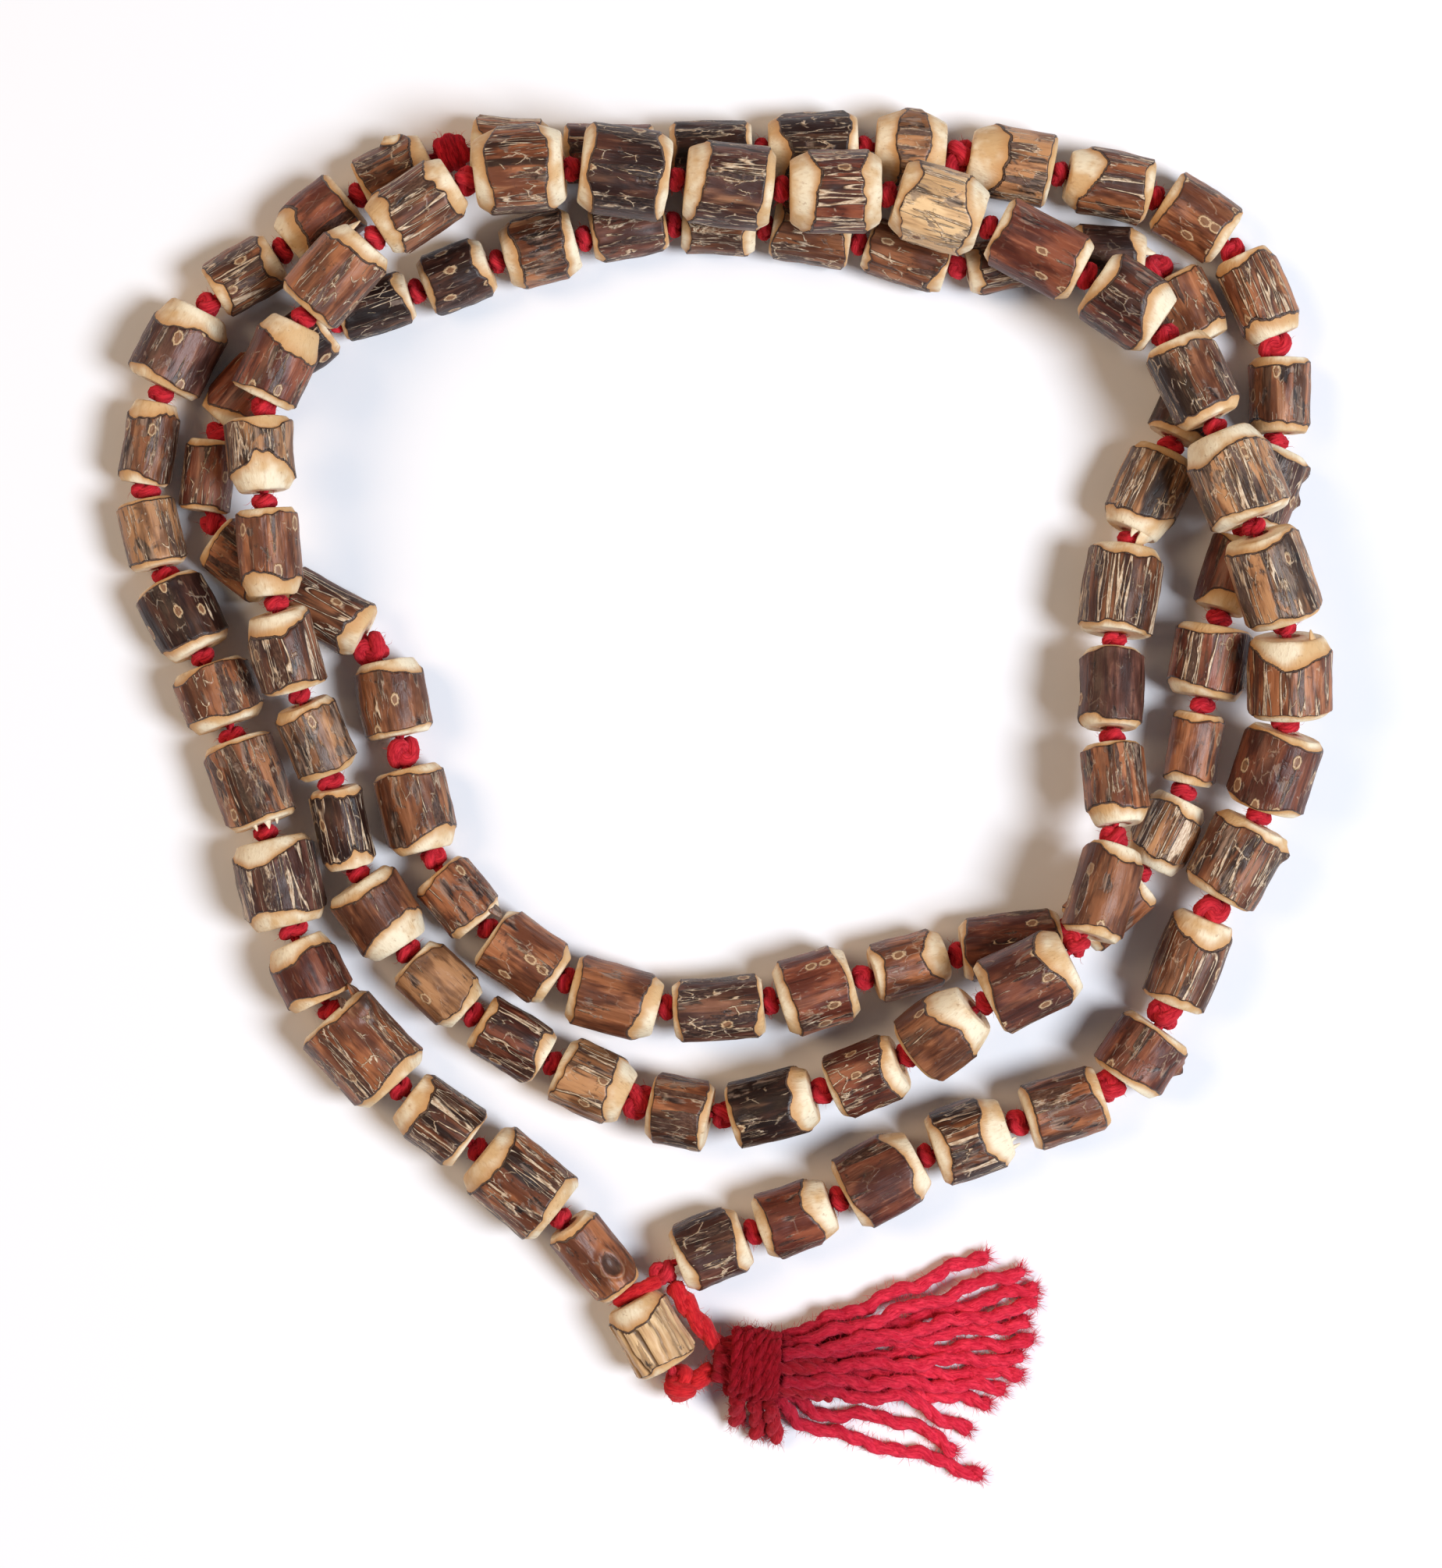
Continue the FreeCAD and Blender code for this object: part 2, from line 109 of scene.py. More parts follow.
# Each bead in stringing order: twig thickness a to e, bark tone, bark character, and
# how far the whittling goes in at its first and at its second end, 1 to 5.
# Tones: b brown, r red-brown, p purple-brown, k near black, g grey-brown, t pale tan.
# Characters: o smooth, c cracked, s striped, m mottled, q grey patches, l lenticels,
# f furrowed.
BEADS = (
    "abo21 ebm23 cbm13 ebc21 cro13 eps33 cbq11 dbc21 ckl21 bgc21 "
    "abq13 dpl14 bbs12 cro31 bbc13 cbs23 brc11 bkc11 ckc32 dgq44 "
    "dgm51 cbs41 cbl12 bbs23 bbq12 cpm11 bro12 drs12 abo11 bgs23 "
    "bbo11 bro11 bbl31 drl22 bpc11 cbo31 cbl21 bbq11 cbq31 cbo12 "
    "bbs21 bbq21 arc12 bro31 bko11 akc11 bkl12 cbq32 apc11 bbc11 "
    "bbc11 abc11 abs21 bko13 bbc12 bko11 cgm23 dbs21 bpo11 bbq13 "
    "bbo21 drl31 dbo51 crc31 ckq31 cbq11 cgs31 brs21 bgo21 dbo42 "
    "aks21 bgq11 cbs13 bbl31 cgm41 crl14 cbc13 cbs33 ebm33 ekc22 "
    "epm32 ers43 dtm23 cro12 drq23 cbm22 egm41 dgm21 ebs31 drl11 "
    "dbm21 cbs31 drl11 cbq21 dbm42 dro31 cro42 cpc22"
).split()
# What single beads carry besides: the kind, the angle from the top of the bead towards
# the right of the stringing direction, the place along the bead from -1 to 1, the size.
# A splinter of wood or a torn flap of bark stands out past the end it is nearest to.
FEATURES = {
    1: [("scar", 22, -0.3, 1.3)],
    4: [("stump", 48, 0.72, 1.9), ("flap", 62, 1, 1.9), ("flap", 30, 1, 1.2)],
    7: [("splinter", 12, -1, 1.2), ("splinter", -22, -1, 0.9), ("splinter", 40, -1, 0.8)],
    15: [("knob", -72, 0.25, 1.4)],
    26: [("stump", -84, 0.05, 0.9), ("stump", -80, -0.7, 1.0)],
    38: [("flap", 50, -1, 1.6)],
    54: [("splinter", -20, 1, 1.5)],
    57: [("splinter", -35, 1, 2.6), ("splinter", -5, 1, 1.2)],
    77: [("splinter", -52, 1, 1.6)],
    89: [("splinter", -45, -1, 1.4)],
    91: [("stump", -78, -0.7, 1.1)],
    93: [("stump", -82, -0.3, 0.9)],
    95: [("splinter", -55, -1, 1.0), ("splinter", -30, -1, 0.7)],
}
# half of the gap at the places on the route where the beads stand further apart
WIDE = {15: 2.8, 20: 1.5, 24: 1.4, 33: 1.3, 38: 1.5, 39: 2.1, 40: 2.4, 52: 1.3,
        53: 2.0, 54: 2.2, 60: 1.4, 64: 1.3, 65: 1.4, 66: 1.5, 91: 1.5, 92: 1.7, 93: 1.5,
        94: 1.3}
# places with a doubled knot, and the one with the knot that joins two lengths of yarn
DOUBLED = (20, 24, 39, 40, 53, 54, 66, 91, 92, 93)
JOIN = 15
# beads with nothing on them, beads of the pile's upper layer
FREE = {*range(1, 12), *range(33, 41), *range(57, 61), *range(64, 73), *range(90, 99)}
UPPER = {*range(61, 64), *range(73, 90)}
LAST = len(BEADS)
CLOSE = (10, 43)               # two beads on neighbouring strands with hardly a gap

route = np.array(ROUTE, float) + ORIGIN


def unit(v):
    return v / np.linalg.norm(v)


def turn_at(i):
    if i in (0, LAST):
        return 0.0
    u, w = unit(route[i] - route[i - 1]), unit(route[i + 1] - route[i])
    return math.acos(max(-1.0, min(1.0, float(u @ w))))


def gap_at(i):
    near = [DIAMETERS[BEADS[j][0]] for j in (i - 1, i) if 0 <= j < LAST]
    bend = max(near) / 2 * FACE_PART * math.tan(turn_at(i) / 2) + PLAY
    return max(LEAST_GAP, bend, WIDE.get(i, 0))


# ------------------------------------------------------------------ mesh helpers
def mesh_object(name, verts, faces, material):
    """verts in millimetres from the row's origin. A triangle repeats its last corner."""
    verts, faces = np.asarray(verts, float) * MM, np.asarray(faces, np.int64)
    triangle = faces[:, 2] == faces[:, 3]
    corners = np.where(triangle, 3, 4)
    keep = np.ones(faces.shape, bool)
    keep[triangle, 3] = False
    mesh = bpy.data.meshes.new(name)
    mesh.vertices.add(len(verts))
    mesh.vertices.foreach_set("co", verts.ravel())
    mesh.loops.add(int(corners.sum()))
    mesh.loops.foreach_set("vertex_index", faces[keep].astype(np.int32))
    mesh.polygons.add(len(faces))
    starts = np.concatenate([[0], np.cumsum(corners)[:-1]])
    mesh.polygons.foreach_set("loop_start", starts.astype(np.int32))
    mesh.polygons.foreach_set("loop_total", corners.astype(np.int32))
    mesh.polygons.foreach_set("use_smooth", np.ones(len(faces), bool))
    mesh.update(calc_edges=True)
    mesh.materials.append(material)
    obj = bpy.data.objects.new(name, mesh)
    bpy.context.scene.collection.objects.link(obj)
    return obj


def attribute(obj, name, kind, values):
    layer = obj.data.attributes.new(name, kind, "POINT")
    field = {"FLOAT": "value", "FLOAT_VECTOR": "vector", "FLOAT_COLOR": "color"}[kind]
    layer.data.foreach_set(field, np.asarray(values, np.float32).ravel())


def grid_faces(rows, cols, wrap_rows=False):
    """Quads of a grid whose columns close on themselves."""
    last = rows if wrap_rows else rows - 1
    r, c = np.meshgrid(np.arange(last), np.arange(cols), indexing="ij")
    a, b = r * cols + c, r * cols + (c + 1) % cols
    up = ((r + 1) % rows) * cols
    return np.stack([a, b, up + (c + 1) % cols, up + c], -1).reshape(-1, 4)


def smooth_noise(rng, u, v, cells_u, cells_v):
    """Value noise from -1 to 1, periodic in v. u and v run from 0 to 1."""
    table = rng.uniform(-1, 1, (cells_u + 2, cells_v))
    x, y = u * cells_u, (v % 1.0) * cells_v
    i, j = np.clip(x.astype(int), 0, cells_u), y.astype(int) % cells_v
    fx, fy = x - x.astype(int), y - y.astype(int)
    fx, fy = fx * fx * (3 - 2 * fx), fy * fy * (3 - 2 * fy)
    k = (j + 1) % cells_v
    low = table[i, j] * (1 - fy) + table[i, k] * fy
    high = table[i + 1, j] * (1 - fy) + table[i + 1, k] * fy
    return low * (1 - fx) + high * fx


def lobes(rng, angle, *sizes):
    """A slow wave round the bead, from one size for each number of lobes."""
    return sum(size * np.cos((k + 1) * (angle - rng.uniform(0, TURN)))
               for k, size in enumerate(sizes))


def rise(x):
    """0 to 1 with soft ends as x goes from 0 to 1."""
    x = np.clip(x, 0, 1)
    return x * x * (3 - 2 * x)


# ------------------------------------------------------------------ node helpers
BUMP = 0.0003                  # metres


class Shader:
    """Short hand for building one node material."""

    def __init__(self, name):
        self.material = bpy.data.materials.new(name)
        self.material.use_nodes = True
        self.tree = self.material.node_tree
        self.tree.nodes.clear()
        self.out = self.tree.nodes.new("ShaderNodeOutputMaterial")
        self.bsdf = self.tree.nodes.new("ShaderNodeBsdfPrincipled")
        self.tree.links.new(self.bsdf.outputs[0], self.out.inputs[0])

    def put(self, socket, value):
        if isinstance(value, bpy.types.NodeSocket):
            self.tree.links.new(value, socket)
        elif value is not None:
            socket.default_value = value

    def node(self, kind, settings=None, **inputs):
        node = self.tree.nodes.new("ShaderNode" + kind)
        for key, value in (settings or {}).items():
            setattr(node, key, value)
        for key, value in inputs.items():
            self.put(node.inputs[key.replace("_", " ")], value)
        return node

    def attr(self, name, out="Fac"):
        return self.node("Attribute", {"attribute_name": name}).outputs[out]

    def parts(self, colour):
        return self.node("SeparateColor", Color=colour).outputs[:]

    def math(self, op, a, b=None, c=None):
        node = self.node("Math", {"operation": op})
        for socket, value in zip(node.inputs, (a, b, c)):
            self.put(socket, value)
        return node.outputs[0]

    def times(self, *values):
        product = values[0]
        for value in values[1:]:
            product = self.math("MULTIPLY", product, value)
        return product

    def ramp(self, value, low, high, a=0.0, b=1.0):
        return self.node("MapRange", {"interpolation_type": "SMOOTHSTEP"}, Value=value,
                         From_Min=low, From_Max=high, To_Min=a, To_Max=b).outputs[0]

    def near(self, value, inner, outer):
        """1 where value is within inner of zero, falling to 0 at outer."""
        return self.ramp(self.math("ABSOLUTE", value), inner, outer, 1.0, 0.0)

    def mix(self, factor, a, b, blend="MIX"):
        node = self.node("Mix", {"data_type": "RGBA", "blend_type": blend})
        for index, value in ((0, factor), (6, a), (7, b)):
            self.put(node.inputs[index], value)
        return node.outputs[2]

    def noise(self, vector, scale, detail=3.0, rough=0.55, distort=0.0, out="Fac"):
        return self.node("TexNoise", Vector=vector, Scale=scale, Detail=detail,
                         Roughness=rough, Distortion=distort).outputs[out]

    def scaled(self, vector, x, y, z):
        node = self.node("VectorMath", {"operation": "MULTIPLY"})
        self.put(node.inputs[0], vector)
        node.inputs[1].default_value = (x, y, z)
        return node.outputs[0]

    def bump(self, height):
        return self.node("Bump", Height=height, Distance=BUMP, Strength=1.0).outputs[0]


def srgb(r, g, b):
    """Display values 0 to 255 as a linear colour."""
    def linear(c):
        return c / 12.92 if c <= 0.04045 else ((c + 0.055) / 1.055) ** 2.4
    return (linear(r / 255), linear(g / 255), linear(b / 255), 1.0)


# ------------------------------------------------------------------ bark and wood
def twig_material():
    s = Shader("twig")
    place = s.attr("bark_place", "Vector")       # millimetres, Z along the bead
    tone, second, skin = (s.attr(n, "Color") for n in ("bark_tone", "bark_second",
                                                       "bark_skin"))
    ridges, dots, patches = s.parts(s.attr("bark_marks", "Color"))
    cover, cracks, furrow = s.parts(s.attr("bark_more", "Color"))
    stripes = s.attr("stripes")
    scar = s.attr("scar")                        # distance from a scar, in its radii
    peel = s.attr("peel")                        # depth of the cut below the bark, mm

    def drawn(z):
        """The place, for a pattern that is drawn out along the twig."""
        return s.scaled(place, 1, 1, z)

    # stringy inner bark, in darker and lighter streaks along the twig
    streak = s.noise(drawn(0.12), 1.7, 4, 0.6, 0.2)
    broad = s.noise(drawn(0.4), 0.35, 3, 0.5)
    stripe = s.noise(drawn(0.12), 0.36, 3, 0.45, 0.6)
    inner = s.mix(s.ramp(s.math("MULTIPLY_ADD", broad, 0.8, s.times(streak, 0.2)),
                         0.44, 0.6), tone, second)
    inner = s.mix(s.times(s.ramp(stripe, 0.36, 0.44, 0.75, 0.0), stripes), inner,
                  srgb(60, 38, 30))
    inner = s.mix(s.times(s.ramp(stripe, 0.57, 0.66, 0.0, 0.5), stripes), inner,
                  srgb(172, 126, 88))
    inner = s.mix(s.ramp(streak, 0.3, 0.48, 0.32, 0.0), inner, srgb(60, 28, 18))
    inner = s.mix(s.ramp(streak, 0.56, 0.7, 0.0, 0.16), inner, srgb(186, 138, 104))

    # smooth outer skin left on in long islands, with a raised pale torn edge
    field = s.noise(drawn(0.13), 0.62, 3, 0.5, 0.25)
    fray = s.math("MULTIPLY_ADD", s.noise(drawn(0.5), 3.0, 2), 0.05, -0.025)
    bare_below = s.math("MULTIPLY_ADD", cover, -0.28, 0.69)
    over = s.math("ADD", s.math("SUBTRACT", field, bare_below), fray)
    on_skin = s.ramp(over, -0.006, 0.006)
    speck = s.noise(drawn(0.3), 5.0, 3, 0.6)
    outer = s.mix(s.ramp(speck, 0.35, 0.7, 0.0, 0.4), skin, srgb(142, 108, 86))
    outer = s.mix(s.times(s.ramp(stripe, 0.36, 0.44, 0.6, 0.0), stripes), outer,
                  srgb(60, 44, 40))
    body = s.mix(on_skin, inner, outer)
    gate = s.ramp(s.noise(drawn(0.35), 0.8, 2), 0.4, 0.52)
    torn = s.times(s.near(over, 0.006, 0.022), gate, s.ramp(ridges, 0.0, 0.5, 0.25, 1.0))

    # weathered patches
    worn = s.noise(drawn(0.45), 0.5, 4, 0.6, 0.5)
    worn = s.ramp(s.math("ADD", worn, s.times(patches, 0.1)), 0.61, 0.68, 0.0, 0.75)
    body = s.mix(worn, body, s.mix(s.ramp(streak, 0.35, 0.62), srgb(48, 42, 44),
                                   srgb(132, 112, 98)))
    # deeper darks and brighter lights, at the same hue
    light = s.node("RGBToBW", Color=body).outputs[0]
    factor = s.math("POWER", s.math("DIVIDE", light, 0.13), 0.95)
    body = s.mix(1.0, body, s.math("MINIMUM", factor, 1.35), "MULTIPLY")

    # narrow raised splits along the twig, with painted shade in a dark band along both
    # sides of each
    wander = s.math("SUBTRACT", s.noise(drawn(0.07), 0.56, 2, 0.5, 0.5), 0.5)
    width = s.math("MULTIPLY_ADD", ridges, 0.02, 0.008)
    open_at = s.math("MULTIPLY_ADD", ridges, -0.3, 0.66)
    open_here = s.ramp(s.math("SUBTRACT", s.noise(drawn(0.2), 0.55, 2),
                              open_at), 0.0, 0.05)
    split = s.times(s.near(wander, s.times(width, 0.4), width), open_here)
    split_shade = s.times(s.near(wander, width, s.times(width, 2.6)), open_here)
    # painted shade: the dark band along both sides of each raised split
    body = s.mix(s.times(split_shade, 0.75), body, srgb(46, 25, 18))

    # cracked stretches: a net of short pale cracks
    web = s.node("TexVoronoi", {"feature": "DISTANCE_TO_EDGE"}, Scale=0.75, Vector=s.mix(
        0.3, drawn(0.4), s.noise(place, 1.4, 2, out="Color"), "ADD"))
    net = s.times(s.ramp(web.outputs[0], 0.01, 0.05, 1.0, 0.0), cracks,
                  s.ramp(s.noise(place, 0.42, 2), 0.52, 0.6))
    pale = s.math("MAXIMUM", s.math("MAXIMUM", torn, split), net)
    body = s.mix(s.times(pale, 0.9), body, s.mix(s.ramp(speck, 0.35, 0.65),
                                                 srgb(184, 148, 116), srgb(238, 214, 184)))

    # lenticels: raised pale ovals with a darker middle
    cell = s.node("TexVoronoi", {"feature": "F1", "voronoi_dimensions": "2D"},
                  Scale=0.3, Randomness=0.9, Vector=s.mix(
                      0.35, s.scaled(s.attr("unrolled", "Vector"), 1, 0.62, 1),
                      s.noise(place, 1.1, 3, 0.6, out="Color"), "ADD"))
    pick = s.parts(cell.outputs["Color"])[0]
    chosen = s.ramp(s.math("SUBTRACT", s.times(dots, 0.55), pick),
                    0.0, 0.01)
    apart = s.math("SUBTRACT", cell.outputs["Distance"], s.times(speck, 0.14))
    apart = s.math("SUBTRACT", apart, s.times(pick, 0.08))
    oval = s.times(s.ramp(apart, 0.06, 0.1, 1.0, 0.0), chosen)
    core = s.times(s.ramp(apart, 0.01, 0.04, 1.0, 0.0), chosen)
    body = s.mix(s.times(oval, 0.85), body, srgb(214, 180, 140))
    body = s.mix(s.times(core, 0.9), body, srgb(126, 82, 54))
    body = s.mix(s.times(s.ramp(furrow, 0.25, 0.8), 0.9), body, srgb(92, 66, 44))

    # scars of side shoots
    body = s.mix(s.ramp(scar, 0.7, 1.0, 0.85, 0.0), body, srgb(66, 48, 42))
    body = s.mix(s.times(s.near(s.math("SUBTRACT", scar, 1.1), 0.04, 0.14), gate, 0.6),
                 body, srgb(150, 112, 84))

    # whittled wood: grain along the twig, orange next to the bark
    grain = s.noise(drawn(0.1), 3.0, 4, 0.6, 0.2)
    wood = s.mix(s.ramp(s.noise(place, 0.2, 3), 0.4, 0.62), srgb(246, 230, 200),
                 srgb(218, 178, 128))
    wood = s.mix(s.ramp(grain, 0.5, 0.75, 0.0, 0.35), wood, srgb(176, 130, 84))
    wood = s.mix(s.ramp(s.noise(place, 1.5, 3), 0.63, 0.72, 0.0, 0.4), wood,
                 srgb(158, 108, 68))
    cut = s.math("ADD", peel, s.math("MULTIPLY_ADD", s.noise(place, 2.2, 3), 0.08, -0.04))
    # painted shade: a thin dark line along the lip where the bark meets the cut
    colour = s.mix(s.ramp(cut, 0.02, 0.05), body, srgb(40, 27, 23))
    colour = s.mix(s.ramp(cut, 0.06, 0.1), colour, s.mix(speck, srgb(66, 47, 41),
                                                        srgb(120, 94, 80)))
    colour = s.mix(s.ramp(cut, 0.16, 0.19), colour, srgb(74, 46, 32))
    colour = s.mix(s.ramp(cut, 0.19, 0.22), colour, srgb(204, 152, 98))
    colour = s.mix(s.ramp(cut, 0.22, 0.7), colour, wood)
    s.put(s.bsdf.inputs["Base Color"], colour)

    height = s.math("MULTIPLY_ADD", streak, 0.4, s.times(stripe, 0.3))
    height = s.mix(on_skin, height, s.math("MULTIPLY_ADD", speck, 0.2, 0.55))
    height = s.math("MULTIPLY_ADD", pale, 0.55, height)
    height = s.math("MULTIPLY_ADD", oval, 0.35, height)
    height = s.math("MULTIPLY_ADD", worn, -0.2, height)
    bare = s.math("MULTIPLY_ADD", grain, 0.3, s.times(speck, 0.12))
    on_wood = s.ramp(cut, 0.14, 0.22)
    s.put(s.bsdf.inputs["Normal"], s.bump(s.mix(on_wood, height, bare)))
    s.put(s.bsdf.inputs["Roughness"], s.ramp(on_wood, 0, 1, 0.42, 0.6))
    s.bsdf.inputs["Specular IOR Level"].default_value = 0.4
    return s.material


def yarn_material(name, light, dark, edge, sheen=0.6):
    s = Shader(name)
    place = s.attr("yarn_place", "Vector")       # along the ply, across it, round it, mm
    fibre = s.noise(s.scaled(place, 0.3, 1, 1), 3.4, 4, 0.65, 0.4)
    broad = s.noise(place, 0.4, 2)
    colour = s.mix(s.ramp(fibre, 0.3, 0.7), dark, light)
    colour = s.mix(s.ramp(broad, 0.45, 0.7, 0.0, 0.35), colour, dark)
    # painted shade: the yarn darkens to a deep red where inside is high, near the tassel's
    # binding
    colour = s.mix(s.times(s.attr("inside"), 0.75), colour, srgb(118, 6, 20))
    s.put(s.bsdf.inputs["Base Color"], colour)
    s.put(s.bsdf.inputs["Normal"], s.bump(fibre))
    s.bsdf.inputs["Roughness"].default_value = 0.95
    s.bsdf.inputs["Specular IOR Level"].default_value = 0.1
    s.bsdf.inputs["Sheen Weight"].default_value = sheen
    s.bsdf.inputs["Sheen Roughness"].default_value = 0.45
    s.bsdf.inputs["Sheen Tint"].default_value = edge
    return s.material


twig = twig_material()
yarn = yarn_material("wool", srgb(226, 56, 68), srgb(158, 22, 36), srgb(255, 96, 110))
# a lighter copy of the same wool, painted light for the yarn round the guru bead
yarn_painted_light = yarn_material("wool_painted_light", srgb(234, 52, 56), srgb(176, 22, 34),
                            srgb(255, 120, 120))
yarn_loose = yarn_material("wool_loose", srgb(255, 66, 90), srgb(202, 28, 55),
                           srgb(255, 100, 130), 0.45)
yarn_deep = yarn_material("wool_deep", srgb(232, 44, 62), srgb(142, 18, 30),
                          srgb(230, 70, 84))

# a tone's stringy inner bark, its lighter shade and the smooth outer skin
TONES = {
    "b": ((122, 67, 42), (148, 91, 58), (98, 62, 48)),
    "r": ((118, 55, 39), (144, 78, 53), (90, 50, 41)),
    "p": ((104, 61, 51), (129, 81, 67), (88, 61, 57)),
    "k": ((76, 41, 33), (101, 59, 45), (64, 43, 40)),
    "g": ((134, 89, 58), (166, 120, 82), (104, 79, 68)),
    "t": ((188, 150, 108), (212, 178, 134), (172, 138, 98)),
}
# pale ridges, lenticels, grey patches, skin left on, cracks, dark and light streaks
CHARACTERS = {
    "o": (0.12, 0.4, 0.05, 0.1, 0.1, 0.2), "c": (0.35, 0.4, 0.2, 0.45, 1.0, 0.4),
    "s": (1.0, 0.4, 0.1, 0.35, 0.4, 0.5), "m": (0.6, 0.3, 0.7, 0.45, 0.8, 1.0),
    "q": (0.25, 0.35, 0.8, 0.4, 0.4, 0.8), "l": (0.15, 1.0, 0.15, 0.2, 0.3, 0.3),
    "f": (0.0, 0.0, 0.0, 0.3, 0.0, 0.15),
}
CUTS = {"1": 1.0, "2": 1.55, "3": 2.3, "4": 3.1, "5": 4.0}
AROUND = 100                   # corners round a bead
END_ROWS, MIDDLE_ROWS = 18, 13
NO_SCAR = 9.0
WOOD_PEEL, WALL_PEEL = 1.2, 1.5              # a depth of cut at which only wood shows
BARK_SPARE = 0.22              # how far bark may stand out past the turned size
FACE_STEPS = (0.0, 0.35, 0.7, 0.92)


def along(direction):
    """Two directions square to this one."""
    side = unit(np.cross(direction, UP if abs(direction[2]) < 0.9 else [1.0, 0.0, 0.0]))
    return side, np.cross(direction, side)


def feature_angle(direction, degrees):
    """Where a feature is on a bead, by its angle from the top."""
    e1, e2 = along(direction)
    right = unit(np.cross(direction, UP))
    top = np.cross(right, direction)
    out = math.cos(math.radians(degrees)) * top + math.sin(math.radians(degrees)) * right
    return math.atan2(out @ e2, out @ e1)


def blade(angle, side, half, radius, size, torn):
    """A splinter or a torn flap past one end of a bead: verts and quads, bead's axes."""
    steps = np.linspace(0, 1, 6)
    out = np.array([math.cos(angle), math.sin(angle), 0.0])
    across = np.array([-math.sin(angle), math.cos(angle), 0.0])
    verts = []
    for t in steps:
        level = radius * (0.86 if torn else 0.72) - 0.3 + (0.5 * t if torn else -0.25 * t)
        wide = size * 0.5 * (1 - t ** (3 if torn else 1.6)) + 0.06
        thick = 0.2 * (1 - 0.7 * t)
        middle = out * level + across * 0.15 * size * math.sin(4 * t + angle)
        middle = middle + UP * side * (half - 1.2 + (1.2 + size * 0.8) * t)
        for x, y in ((-1, -1), (1, -1), (1, 1), (-1, 1)):
            verts.append(middle + across * wide * x + out * thick * y)
    faces = [[4 * k + j, 4 * k + (j + 1) % 4, 4 * k + 4 + (j + 1) % 4, 4 * k + 4 + j]
             for k in range(len(steps) - 1) for j in range(4)]
    last = 4 * (len(steps) - 1)
    faces += [[3, 2, 1, 0], [last, last + 1, last + 2, last + 3]]
    faces = np.array(faces)
    return np.array(verts), faces if side > 0 else faces[:, ::-1]


def cut_back(rng, theta, inward, radius, depth, up, uneven):
    """Radius that the knife leaves near one end, a rounded cone of shallow facets. The
    deeper side of the cut is near the angle up."""
    strokes = int(rng.integers(7, 11))
    step = TURN / strokes
    turned = (theta - rng.uniform(0, step)) % TURN
    facet = np.minimum((turned / step).astype(int), strokes - 1)
    off = turned - (facet + 0.5) * step
    slant = rng.uniform(0.1, 0.42) * np.cos(theta - up - rng.uniform(-0.9, 0.9))
    slant += lobes(rng, theta, 0.16, 0.12) + 0.025 * rng.uniform(-1, 1, strokes)[facet]
    edge = depth * (0.95 + uneven * slant)
    edge = np.maximum(edge + 0.06 * smooth_noise(rng, theta * 0, theta / TURN, 1, 30), 0.35)
    rim = radius * (0.87 - 0.05 * depth) * (0.99 + lobes(rng, theta, 0.02, 0.03, 0.015))
    cone = rim + (radius - rim) * np.clip(inward / edge, 0, 1.8) ** 0.7
    return cone * (1 + 0.12 * (1 / np.cos(off) - 1))


